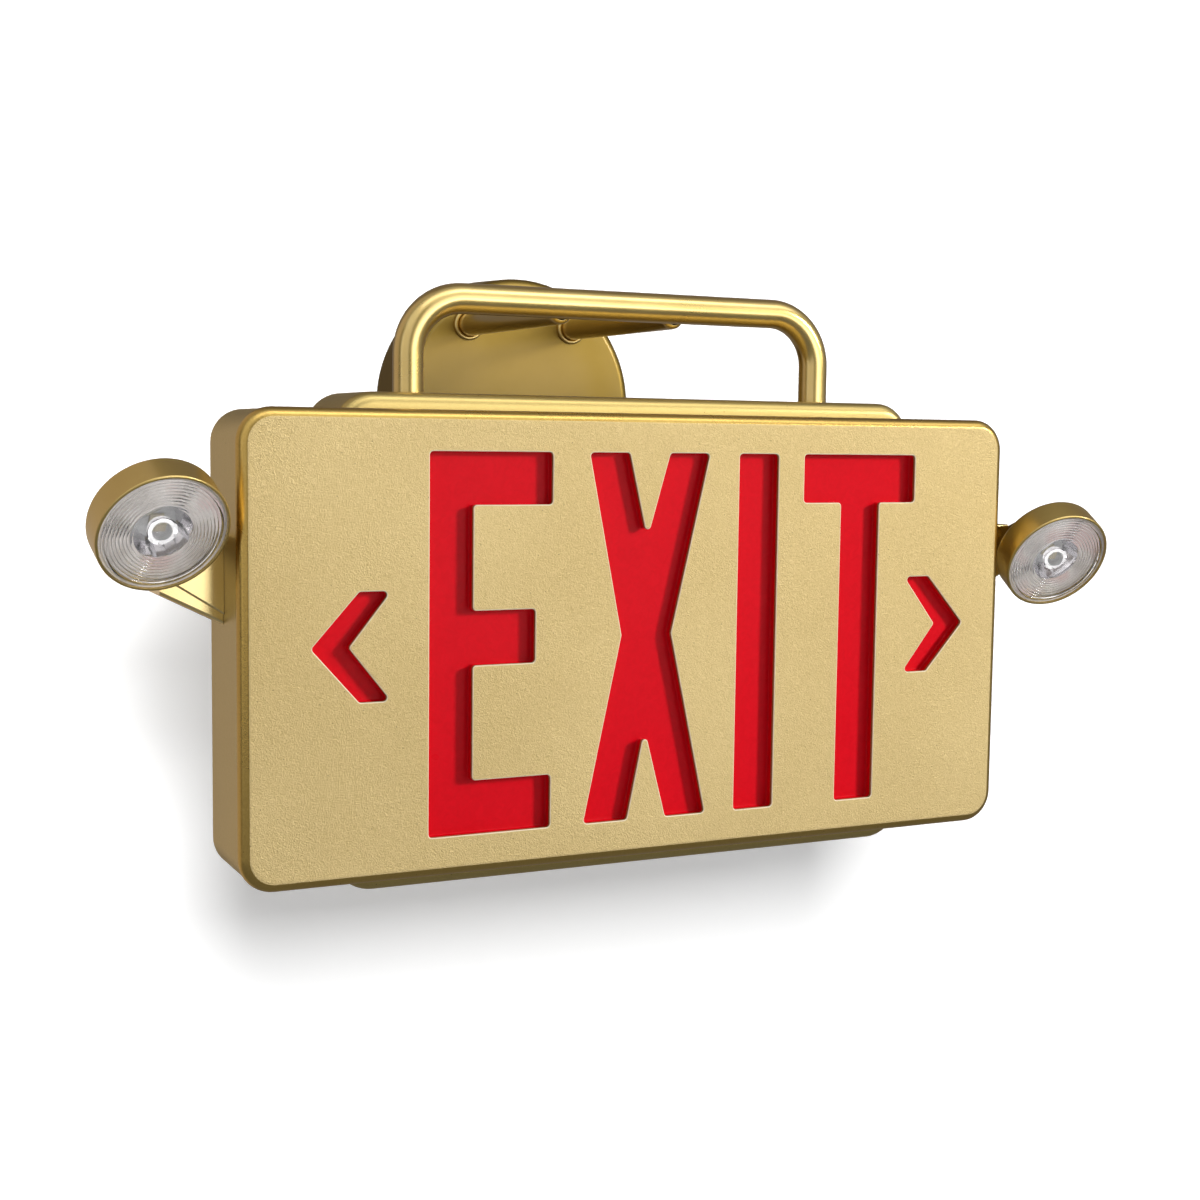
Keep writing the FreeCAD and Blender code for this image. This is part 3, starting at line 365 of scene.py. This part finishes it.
def grain_nodes(nodes, links, shader, scale, depth, distance, soft=0.5):
    """Bump from a fine noise on Object coordinates; returns both nodes."""
    coords = nodes.new("ShaderNodeTexCoord")
    noise = nodes.new("ShaderNodeTexNoise")
    noise.inputs["Scale"].default_value = scale
    noise.inputs["Detail"].default_value = 3.0
    noise.inputs["Roughness"].default_value = soft
    noise.inputs["Distortion"].default_value = 1.6
    bump = nodes.new("ShaderNodeBump")
    bump.inputs["Strength"].default_value = depth
    bump.inputs["Distance"].default_value = distance
    links.new(coords.outputs["Object"], noise.inputs["Vector"])
    links.new(noise.outputs["Fac"], bump.inputs["Height"])
    links.new(bump.outputs[0], shader.inputs["Normal"])
    return coords, noise


def ramp(nodes, links, source, stops):
    """Colour ramp fed by source; stops are (position, colour)."""
    node = nodes.new("ShaderNodeValToRGB")
    while len(node.color_ramp.elements) > 1:
        node.color_ramp.elements.remove(node.color_ramp.elements[-1])
    node.color_ramp.elements[0].position = stops[0][0]
    node.color_ramp.elements[0].color = (*stops[0][1], 1.0)
    for place, colour in stops[1:]:
        node.color_ramp.elements.new(place).color = (*colour, 1.0)
    links.new(source, node.inputs[0])
    return node


def uneven_gloss(nodes, links, shader, source, rough):
    """Roughness that source leads between the two limits of rough."""
    gloss = nodes.new("ShaderNodeMapRange")
    gloss.inputs["To Min"].default_value = rough[0]
    gloss.inputs["To Max"].default_value = rough[1]
    links.new(source, gloss.inputs["Value"])
    links.new(gloss.outputs[0], shader.inputs["Roughness"])


def sprayed_brass(name, dark, light, rough=(0.55, 0.64), scale=850.0, depth=0.62, metal=0.6):
    """Satin brass spray: orange-peel grain, slow patches of tone, fine specks."""
    mat, nodes, links, shader = blank_material(name)
    coords, grain = grain_nodes(nodes, links, shader, scale, depth, 0.0005)
    patch = nodes.new("ShaderNodeTexNoise")
    patch.inputs["Scale"].default_value = 9.0
    patch.inputs["Detail"].default_value = 2.0
    links.new(coords.outputs["Object"], patch.inputs["Vector"])
    blend = nodes.new("ShaderNodeMath")
    blend.operation = "MULTIPLY_ADD"
    blend.inputs[1].default_value = 0.60
    links.new(grain.outputs["Fac"], blend.inputs[0])
    half = nodes.new("ShaderNodeMath")
    half.operation = "MULTIPLY"
    half.inputs[1].default_value = 0.40
    links.new(patch.outputs["Fac"], half.inputs[0])
    links.new(half.outputs[0], blend.inputs[2])
    tone = ramp(nodes, links, blend.outputs[0], [(0.34, dark), (0.66, light)])
    speck = nodes.new("ShaderNodeTexVoronoi")
    speck.inputs["Scale"].default_value = 210.0
    links.new(coords.outputs["Object"], speck.inputs["Vector"])
    dot_tones = [(0.035, (0.52, 0.48, 0.42)), (0.065, (1.0, 1.0, 1.0))]
    dots = ramp(nodes, links, speck.outputs["Distance"], dot_tones)
    stain = nodes.new("ShaderNodeMix")
    stain.data_type = "RGBA"
    stain.blend_type = "MULTIPLY"
    stain.inputs[0].default_value = 1.0
    links.new(tone.outputs[0], stain.inputs[6])
    links.new(dots.outputs[0], stain.inputs[7])
    links.new(stain.outputs[2], shader.inputs["Base Color"])
    uneven_gloss(nodes, links, shader, patch.outputs["Fac"], rough)
    shader.inputs["Metallic"].default_value = metal
    return mat


face_gold = sprayed_brass("sprayed brass face", (0.63, 0.475, 0.205), (0.78, 0.615, 0.30))
# Painted highlight: a pale, less metallic copy of the spray on the small break round each opening stands in
# for the light caught on that edge.
edge_highlight_gold = sprayed_brass("painted highlight on the edge of the openings", (0.84, 0.75, 0.52), (0.91, 0.83, 0.62),
                          depth=0.10, metal=0.25)
# Painted shade: the rolled edge, lip and tongue take a darker, smoother copy of the face spray; its darker
# tone stands in for the shade on the roll.
roll_shade_gold = sprayed_brass("smooth spray on the rolled edge, darkened as painted shade", (0.50, 0.335, 0.09), (0.59, 0.405, 0.12),
                          (0.24, 0.32), depth=0.12, metal=1.0)
# Painted shade: the walls inside the openings take a darker copy of the spray that stands in for the shade in
# these recesses.
opening_shade_gold = sprayed_brass("painted shade inside the openings", (0.30, 0.20, 0.07), (0.40, 0.28, 0.10), depth=0.3)
COVER_MATERIALS = [face_gold, edge_highlight_gold, opening_shade_gold, roll_shade_gold]
ON_FACE, ON_EDGE_HIGHLIGHT, ON_WALL_SHADE, ON_ROLL_SHADE = range(4)

ROLL_R = 4.5
LIP_Y, TONGUE_Y = -177.3, -171.0
TONGUE_OUTER, TONGUE_INNER = 3.35, 4.75
OPENING_EDGE = ((0.45, 0.0), (0.28, 0.05), (0.12, 0.16), (0.02, 0.36), (0.0, 0.6), (0.0, COVER_T))

bm = bmesh.new()
rings = []
profile = []
for k in range(9):
    t = math.radians(90.0 * k / 8)
    profile.append((ROLL_R * (1 - math.sin(t)), FACE + ROLL_R * (1 - math.cos(t))))
profile += [(0.0, LIP_Y - 0.25), (0.25, LIP_Y), (TONGUE_OUTER, LIP_Y), (TONGUE_OUTER, TONGUE_Y - 0.3),
            (TONGUE_OUTER + 0.3, TONGUE_Y), (TONGUE_INNER, TONGUE_Y), (TONGUE_INNER, FACE + COVER_T)]
for inset, y in profile:
    rings.append(add_ring(bm, plate_outline(COVER_W, COVER_H, COVER_R, inset), y))
for i, (a, b) in enumerate(zip(rings, rings[1:])):
    join_rings(bm, a, b, ON_FACE if i < 1 else ON_ROLL_SHADE)
front_rings, back_rings = [rings[0]], [rings[-1]]
for points in STENCIL.values():
    cut = [add_ring(bm, stencil_line(points, grow), FACE + depth) for grow, depth in OPENING_EDGE]
    for i, (a, b) in enumerate(zip(cut, cut[1:])):
        join_rings(bm, a, b, ON_EDGE_HIGHLIGHT if i < 3 else ON_WALL_SHADE)
    front_rings.append(cut[0])
    back_rings.append(cut[-1])
fill_rings(bm, front_rings)
fill_rings(bm, back_rings)
cover = finish_mesh(bm, "cover_moulding", COVER_MATERIALS)
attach(cover, "sign")
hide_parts("front_cover")

# ---------------------------------------------------------------------------
# Red panel: one glossy translucent moulding behind the stencil.  Each letter
# and arrow is a shallow pocket with upright walls and a small cove at its floor.
# ---------------------------------------------------------------------------
red, nodes, links, shader = blank_material("glossy red panel")
coords, haze = grain_nodes(nodes, links, shader, 260.0, 0.05, 0.0003)
reds = [(0.3, (0.70, 0.0018, 0.010)), (0.7, (0.76, 0.0024, 0.012))]
tone = ramp(nodes, links, haze.outputs["Fac"], reds)
links.new(tone.outputs[0], shader.inputs["Base Color"])
wipe = nodes.new("ShaderNodeTexNoise")
wipe.inputs["Scale"].default_value = 40.0
links.new(coords.outputs["Object"], wipe.inputs["Vector"])
uneven_gloss(nodes, links, shader, wipe.outputs["Fac"], (0.24, 0.36))
shader.inputs["Specular IOR Level"].default_value = 0.07

PANEL_W, PANEL_H, PANEL_R = COVER_W - 20, COVER_H - 18, 6.0
PANEL_FRONT, PANEL_T, POCKET_Y = -180.4, 1.2, -177.4
PANEL_EDGE = ((0.3, 0.0), (0.0, 0.3), (0.0, 0.9), (0.3, PANEL_T))
POCKET_IN, POCKET_OUT, POCKET_R, COVE_R = 0.30, 1.5, 1.6, 0.9

bm = bmesh.new()
front_rings, back_rings = [], []
edge_rings = [add_ring(bm, plate_outline(PANEL_W, PANEL_H, PANEL_R, inset), PANEL_FRONT + depth)
              for inset, depth in PANEL_EDGE]
for a, b in zip(edge_rings, edge_rings[1:]):
    join_rings(bm, a, b)
front_rings.append(edge_rings[0])
back_rings.append(edge_rings[-1])
for points in STENCIL.values():
    walls = [(POCKET_IN, PANEL_FRONT), (POCKET_IN, POCKET_Y - COVE_R)]
    for k in range(1, 6):
        t = math.radians(18.0 * k)
        walls.append((POCKET_IN - COVE_R * (1 - math.cos(t)), POCKET_Y - COVE_R + COVE_R * math.sin(t)))
    cut = [add_ring(bm, stencil_line(points, grow, POCKET_R), y) for grow, y in walls]
    for a, b in zip(cut, cut[1:]):
        join_rings(bm, a, b)
    fill_rings(bm, [cut[-1]])
    backs = [(POCKET_OUT, PANEL_FRONT + PANEL_T), (POCKET_OUT, POCKET_Y + 0.6), (0.9, POCKET_Y + PANEL_T)]
    outer = [add_ring(bm, stencil_line(points, grow, POCKET_R), y) for grow, y in backs]
    for a, b in zip(outer, outer[1:]):
        join_rings(bm, a, b)
    fill_rings(bm, [outer[-1]])
    front_rings.append(cut[0])
    back_rings.append(outer[0])
fill_rings(bm, front_rings)
fill_rings(bm, back_rings)
panel = finish_mesh(bm, "red_letter_panel", [red], 40.0)
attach(panel, "sign")
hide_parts("red_diffuser")

# ---------------------------------------------------------------------------
# Rear case: one moulding in the same spray, its sides left flatter, and darker as painted shade,
# with the taller centre body grown through it and a plate screwed to its back.
# ---------------------------------------------------------------------------


def smooth_copy(node, name, materials, sharp_deg=30.0):
    """Merged, smooth-shaded copy of a CAD node, standing for that node."""
    source = frame["nodes"][node].data
    bm = bmesh.new()
    bm.from_mesh(source)
    bmesh.ops.remove_doubles(bm, verts=bm.verts, dist=2e-6)
    bmesh.ops.dissolve_degenerate(bm, edges=bm.edges, dist=1e-7)
    for face in bm.faces:
        face.material_index = 0
    return finish_mesh(bm, name, materials, sharp_deg)


# Painted shade: the case and its back plate take a darker copy of the face spray that stands in for the shade
# on the sides.
side_shade_gold = sprayed_brass("sprayed brass sides, darkened as painted shade", (0.49, 0.370, 0.130), (0.55, 0.42, 0.155),
                          (0.30, 0.40), depth=0.12, metal=0.95)
case = smooth_copy("rear_case", "case_moulding", [side_shade_gold])
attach(case, "sign")
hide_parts("rear_case")

plate = smooth_copy("rear_plate", "back_hatch", [side_shade_gold])
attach(plate, "sign")
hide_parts("rear_plate")

# ---------------------------------------------------------------------------
# Hanger: half inch tube bent to an inverted U, lacquered satin brass.  Its legs
# go down into the top of the centre body, where lock nuts hold them.
# ---------------------------------------------------------------------------


def satin_brass(name, dark, light, rough=(0.24, 0.34), coat=0.8):
    """Smooth brass lacquer with a faint grain and slow patches."""
    mat, nodes, links, shader = blank_material(name)
    coords, grain = grain_nodes(nodes, links, shader, 900.0, 0.07, 0.0001, 0.6)
    patch = nodes.new("ShaderNodeTexNoise")
    patch.inputs["Scale"].default_value = 30.0
    patch.inputs["Detail"].default_value = 4.0
    links.new(coords.outputs["Object"], patch.inputs["Vector"])
    tone = ramp(nodes, links, patch.outputs["Fac"], [(0.3, dark), (0.7, light)])
    links.new(tone.outputs[0], shader.inputs["Base Color"])
    uneven_gloss(nodes, links, shader, patch.outputs["Fac"], rough)
    shader.inputs["Metallic"].default_value = 1.0
    shader.inputs["Coat Weight"].default_value = coat
    shader.inputs["Coat Roughness"].default_value = 0.16
    shader.inputs["Coat IOR"].default_value = 2.0
    return mat


tube_brass = satin_brass("satin brass tube", (0.60, 0.42, 0.10), (0.68, 0.49, 0.14))


def node_group(name, inputs):
    """Geometry tree with a geometry input and named float or integer inputs."""
    tree = bpy.data.node_groups.new(name, "GeometryNodeTree")
    tree.interface.new_socket("Geometry", in_out="INPUT", socket_type="NodeSocketGeometry")
    keys = {}
    for label, kind, value in inputs:
        item = tree.interface.new_socket(label, in_out="INPUT", socket_type=kind)
        if value is not None:
            item.default_value = value
        keys[label] = item.identifier
    tree.interface.new_socket("Geometry", in_out="OUTPUT", socket_type="NodeSocketGeometry")
    start = tree.nodes.new("NodeGroupInput")
    end = tree.nodes.new("NodeGroupOutput")
    return tree, keys, start, end


def set_inputs(obj, tree, keys, values):
    """Put the tree on an object as a modifier, with its inputs set by name."""
    mod = obj.modifiers.new(tree.name, "NODES")
    mod.node_group = tree
    for label, value in values.items():
        mod[keys[label]] = value


TUBE_R, BEND_R = 6.35, 23.0
LEG, BAR_Z, TUBE_Y, LEG_END = 97.0, 40.1, -144.0, -15.05
tube_tree, tube_keys, start, end = node_group("bent tube", [
    ("Tube radius", "NodeSocketFloat", TUBE_R * MM), ("Bend radius", "NodeSocketFloat", BEND_R * MM),
    ("Bend steps", "NodeSocketInt", 20), ("Sides", "NodeSocketInt", 48),
    ("Lacquer", "NodeSocketMaterial", None)])
nodes, links = tube_tree.nodes, tube_tree.links
fillet = nodes.new("GeometryNodeFilletCurve")
fillet.mode = "POLY"
fillet.inputs["Limit Radius"].default_value = True
links.new(start.outputs["Geometry"], fillet.inputs["Curve"])
links.new(start.outputs["Bend radius"], fillet.inputs["Radius"])
links.new(start.outputs["Bend steps"], fillet.inputs["Count"])
section = nodes.new("GeometryNodeCurvePrimitiveCircle")
links.new(start.outputs["Sides"], section.inputs["Resolution"])
links.new(start.outputs["Tube radius"], section.inputs["Radius"])
sweep = nodes.new("GeometryNodeCurveToMesh")
sweep.inputs["Fill Caps"].default_value = True
links.new(fillet.outputs[0], sweep.inputs["Curve"])
links.new(section.outputs[0], sweep.inputs["Profile Curve"])
shade = nodes.new("GeometryNodeSetShadeSmooth")
links.new(sweep.outputs[0], shade.inputs["Geometry"])
paint = nodes.new("GeometryNodeSetMaterial")
links.new(shade.outputs[0], paint.inputs["Geometry"])
links.new(start.outputs["Lacquer"], paint.inputs["Material"])
links.new(paint.outputs[0], end.inputs["Geometry"])


def swept_piece(name, points, values):
    """Runs the tube tree on a poly line and returns a plain mesh object."""
    line = bpy.data.curves.new(name + " path", "CURVE")
    line.dimensions = "3D"
    spline = line.splines.new("POLY")
    spline.points.add(len(points) - 1)
    for point, place in zip(spline.points, points):
        point.co = (*[c * MM for c in place], 1.0)
    obj = bpy.data.objects.new(name + " path", line)
    scene.collection.objects.link(obj)
    set_inputs(obj, tube_tree, tube_keys, values)
    graph = bpy.context.evaluated_depsgraph_get()
    mesh = bpy.data.meshes.new_from_object(obj.evaluated_get(graph))
    bpy.data.objects.remove(obj)
    bm = bmesh.new()
    bm.from_mesh(mesh)
    return finish_mesh(bm, name, [values["Lacquer"]], 50.0, False)


bow_path = [(-LEG, TUBE_Y, LEG_END), (-LEG, TUBE_Y, BAR_Z), (LEG, TUBE_Y, BAR_Z), (LEG, TUBE_Y, LEG_END)]
bow_sizes = {"Tube radius": TUBE_R * MM, "Bend radius": BEND_R * MM, "Lacquer": tube_brass}
tube = swept_piece("hanger_bow", bow_path, bow_sizes)
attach(tube, "sign")
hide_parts("hanger_tube")

# ---------------------------------------------------------------------------
# Two hollow rods carry the hanger from the canopy.  They are welded to the back
# of the bar; a small rolled bead hides each seat on the canopy's face.
# ---------------------------------------------------------------------------
ROD_X, ROD_Z = 27.0, 37.2
ROD_R, ROD_BORE_R, ROD_START, ROD_END = 5.5, 3.8, 3.4, 110.0
ROD_PROFILE = [(4.0, ROD_START), (4.9, 4.0), (5.4, 5.2), (ROD_R, 6.6),
               (ROD_R, ROD_END), (ROD_BORE_R, ROD_END), (ROD_BORE_R, ROD_START)]
CANOPY_FACE, BEAD_HUB_R, BEAD_HUB_Y, BEAD_R = -34.0, 6.55, -1.15, 1.0


def turned(name, profile, place, axis, materials, steps=96, sharp_deg=38.0, second=()):
    """Lathe work: (radius, height) profile spun about axis through place.
    The bands whose numbers are in second take the second material."""
    bm = bmesh.new()
    turn = Vector((0, 0, 1)).rotation_difference(Vector(axis)).to_matrix().to_4x4()
    spot = Matrix.Translation(Vector(place) * MM) @ turn
    rings = []
    for radius, height in profile:
        ring = []
        for k in range(steps):
            t = 2 * math.pi * k / steps
            point = Vector((radius * math.cos(t) * MM, radius * math.sin(t) * MM, height * MM))
            ring.append(bm.verts.new(spot @ point))
        rings.append(ring)
    for i, (a, b) in enumerate(zip(rings, rings[1:] + rings[:1])):
        join_rings(bm, a, b, 1 if i in second else 0)
    return finish_mesh(bm, name, materials, sharp_deg)


for label, side in (("left", -1), ("right", 1)):
    x = side * ROD_X
    rod = turned(label + "_rod", ROD_PROFILE, (x, TUBE_Y, ROD_Z), (0, 1, 0), [tube_brass], 48)
    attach(rod, "sign")
    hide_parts("arm_rods")
    bead = [(5.55, -0.05), (5.55, -1.7)]
    for k in range(10):
        t = math.radians(165.0 - 18.0 * k)
        bead.append((BEAD_HUB_R + BEAD_R * math.cos(t), BEAD_HUB_Y - BEAD_R * math.sin(t)))
    bead += [(7.6, -0.05)]
    collar = turned(label + "_bead", bead, (x, CANOPY_FACE, ROD_Z), (0, 1, 0), [tube_brass], 64)
    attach(collar, "sign")
    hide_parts("rod_collars")

# ---------------------------------------------------------------------------
# Wall canopy: a spun steel dish, 123 mm across, in the same lacquer, darkened as painted
# shade.  It covers the wall box and is held by two small screws low on its rim.
# ---------------------------------------------------------------------------
# Painted shade: a darker copy of the satin brass; the canopy's darker colour stands in for shade, and the
# lamp arms take it too.
shade_darkened_brass = satin_brass("satin brass darkened as painted shade", (0.26, 0.172, 0.032), (0.31, 0.208, 0.045),
                           (0.38, 0.48), 0.1)
canopy = smooth_copy("wall_canopy", "canopy_dish", [shade_darkened_brass], 40.0)
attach(canopy, "sign")
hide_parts("wall_canopy")

# ---------------------------------------------------------------------------
# Lamp brackets and arms: the hollow wedge is moulded, its brass brightened as painted
# light; the arm is a small casting that turns on the wedge's end.
# ---------------------------------------------------------------------------
# Painted light: a brightened copy of the satin brass; the wedge's brighter colour stands in for the light it
# catches.
light_brightened_wedge_gold = satin_brass("wedge brass brightened as painted light", (0.80, 0.60, 0.24), (0.90, 0.72, 0.33), (0.16, 0.28), 0.3)
for label in ("left", "right"):
    wedge = smooth_copy(label + "_bracket", label + "_wedge", [light_brightened_wedge_gold], 28.0)
    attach(wedge, "sign")
    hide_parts(label + "_bracket")
    arm = smooth_copy(label + "_arm", label + "_arm_casting", [shade_darkened_brass], 35.0)
    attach(arm, label + "_arm_body")
    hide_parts(label + "_arm")

# ---------------------------------------------------------------------------
# Lamp heads: a lacquered cup with a bright lip, a clear lens moulded with fine
# prism rings and a centre collimator, a faceted mirror and one small LED.
# ---------------------------------------------------------------------------
HEAD_R, LENS_R, LENS_T = 25.0, 23.9, 2.2
HEAD_GAP, HEAD_Y = 3.6, -187.0
CENTRE_R, MIRROR_R = 11.0, 11.5
RINGS, RIM = 9, 1.0
RING_PITCH = (LENS_R - RIM - CENTRE_R) / RINGS
RING_SHAPE = ((0.0, -0.10), (0.10, 0.12), (0.30, 0.27), (0.55, 0.29), (0.80, 0.16), (0.97, -0.08))
AIM, TOE = math.radians(31.0), math.radians(8.0)
cup_brass = satin_brass("satin brass cup", (0.53, 0.375, 0.105), (0.61, 0.445, 0.14), (0.34, 0.44), 0.4)

clear, nodes, links, shader = blank_material("clear polycarbonate")
_, ripple = grain_nodes(nodes, links, shader, 420.0, 0.04, 0.0001)
shader.inputs["Base Color"].default_value = (0.97, 0.96, 0.96, 1.0)
uneven_gloss(nodes, links, shader, ripple.outputs["Fac"], (0.02, 0.09))
shader.inputs["Transmission Weight"].default_value = 1.0
shader.inputs["IOR"].default_value = 1.49

frosted, nodes, links, shader = blank_material("frosted ring risers")
_, frost = grain_nodes(nodes, links, shader, 900.0, 0.2, 0.0001)
tone = ramp(nodes, links, frost.outputs["Fac"], [(0.3, (0.70, 0.66, 0.64)), (0.7, (0.86, 0.82, 0.80))])
links.new(tone.outputs[0], shader.inputs["Base Color"])
uneven_gloss(nodes, links, shader, frost.outputs["Fac"], (0.25, 0.40))
shader.inputs["Transmission Weight"].default_value = 0.35

mirror, nodes, links, shader = blank_material("metallised facets")
_, smear = grain_nodes(nodes, links, shader, 300.0, 0.03, 0.0001)
tone = ramp(nodes, links, smear.outputs["Fac"], [(0.3, (0.64, 0.63, 0.65)), (0.7, (0.76, 0.75, 0.76))])
links.new(tone.outputs[0], shader.inputs["Base Color"])
uneven_gloss(nodes, links, shader, smear.outputs["Fac"], (0.06, 0.14))
shader.inputs["Metallic"].default_value = 1.0

satin, nodes, links, shader = blank_material("satin outer reflector")
coords, drift = grain_nodes(nodes, links, shader, 500.0, 0.15, 0.0002)
tint = nodes.new("ShaderNodeTexNoise")
tint.inputs["Scale"].default_value = 55.0
links.new(coords.outputs["Object"], tint.inputs["Vector"])
tints = [(0.36, (0.56, 0.53, 0.50)), (0.52, (0.74, 0.71, 0.68)), (0.66, (0.72, 0.58, 0.56))]
tone = ramp(nodes, links, tint.outputs["Fac"], tints)
links.new(tone.outputs[0], shader.inputs["Base Color"])
uneven_gloss(nodes, links, shader, drift.outputs["Fac"], (0.28, 0.40))
shader.inputs["Metallic"].default_value = 0.85


def ringed_section():
    """Section of the lens, and the numbers of the bands that are frosted."""
    section = [(0.001, 0.0), (5.0, 0.02), (10.6, 0.0)]
    risers = []
    for k in range(RINGS):
        r = CENTRE_R + RING_PITCH * k
        risers += [len(section) + 4, len(section) + 5]
        section += [(r + RING_PITCH * share, height) for share, height in RING_SHAPE]
    section += [(LENS_R - 0.2, 0.0), (LENS_R, -0.2), (LENS_R, -LENS_T), (LENS_R - 0.9, -LENS_T)]
    for k in range(RINGS):
        r = LENS_R - RIM - RING_PITCH * k
        section += [(r - 0.02, -LENS_T), (r - RING_PITCH * 0.5, -LENS_T - 0.35),
                    (r - RING_PITCH * 0.96, -LENS_T)]
    section += [(CENTRE_R, -LENS_T), (5.7, -LENS_T - 0.2), (5.2, -4.4), (4.3, -5.8)]
    section += [(3.1, -6.8), (1.6, -7.4), (0.001, -7.6)]
    return section, risers


lens_section, risers = ringed_section()
for label, side, z in (("left", -1, -52.4), ("right", 1, -69.8)):
    n = Vector((-side * math.sin(TOE) * math.cos(AIM), -math.cos(TOE) * math.cos(AIM), -math.sin(AIM)))
    place = Vector((side * (COVER_W / 2 + HEAD_R + HEAD_GAP), HEAD_Y, z))
    body = label + "_head_body"

    shell = smooth_copy(label + "_head_shell", label + "_cup", [cup_brass], 35.0)
    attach(shell, body)
    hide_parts(label + "_head_shell")

    lens = turned(label + "_ringed_lens", lens_section, place, n, [clear, frosted], 96, 30.0, risers)
    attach(lens, body)
    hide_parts(label + "_lens")

    cone = smooth_copy(label + "_reflector", label + "_mirror_cone", [mirror, satin], 10.0)
    for face in cone.data.polygons:
        off = face.center - place * MM
        if (off - n * off.dot(n)).length > MIRROR_R * MM:
            face.material_index = 1
    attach(cone, body)
    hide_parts(label + "_reflector")

# ---------------------------------------------------------------------------
# Inside and hidden hardware: the CAD solids stand as they are, each in the
# finish of its own material.
# ---------------------------------------------------------------------------


def plain_finish(name, dark, light, rough, metal=0.0, scale=400.0):
    """Small hardware finish: two tones, uneven gloss and a fine bump."""
    mat, nodes, links, shader = blank_material(name)
    _, grain = grain_nodes(nodes, links, shader, scale, 0.1, 0.0002)
    tone = ramp(nodes, links, grain.outputs["Fac"], [(0.3, dark), (0.7, light)])
    links.new(tone.outputs[0], shader.inputs["Base Color"])
    uneven_gloss(nodes, links, shader, grain.outputs["Fac"], rough)
    shader.inputs["Metallic"].default_value = metal
    return mat


FINISHES = {
    "white_tray": plain_finish("matt white tray", (0.80, 0.80, 0.78), (0.88, 0.88, 0.86), (0.5, 0.7)),
    "circuit_board": plain_finish("green circuit board", (0.02, 0.12, 0.05), (0.03, 0.19, 0.08), (0.25, 0.4)),
    "white_board": plain_finish("pale circuit board", (0.38, 0.39, 0.39), (0.48, 0.49, 0.49), (0.3, 0.45)),
    "led_die": plain_finish("LED phosphor", (0.40, 0.36, 0.26), (0.50, 0.45, 0.34), (0.3, 0.45)),
    "zinc_steel": plain_finish("bright zinc", (0.48, 0.48, 0.47), (0.66, 0.66, 0.64), (0.22, 0.4), 1.0),
    "galvanised": plain_finish("galvanised sheet", (0.42, 0.44, 0.45), (0.60, 0.62, 0.63), (0.3, 0.55),
                               1.0, 60.0),
    "cell_sleeve": plain_finish("yellow cell sleeve", (0.62, 0.44, 0.04), (0.75, 0.55, 0.07), (0.25, 0.4)),
    "iron_core": plain_finish("varnished core", (0.03, 0.03, 0.03), (0.07, 0.06, 0.05), (0.35, 0.5)),
    "black_plastic": plain_finish("black moulding", (0.015, 0.015, 0.015), (0.03, 0.03, 0.03), (0.4, 0.6)),
    "green_plastic": plain_finish("green moulding", (0.03, 0.22, 0.08), (0.05, 0.30, 0.11), (0.4, 0.55)),
    "button_red": plain_finish("red button", (0.50, 0.01, 0.01), (0.62, 0.02, 0.02), (0.2, 0.35)),
    "gold_metal": tube_brass,
}
slot_of = {entry["node"]: entry["material_slot"] for entry in frame["record"]["subparts"]}
for node, obj in frame["nodes"].items():
    finish = FINISHES.get(slot_of.get(node))
    if finish and obj.type == "MESH":
        for slot in obj.material_slots:
            slot.material = finish
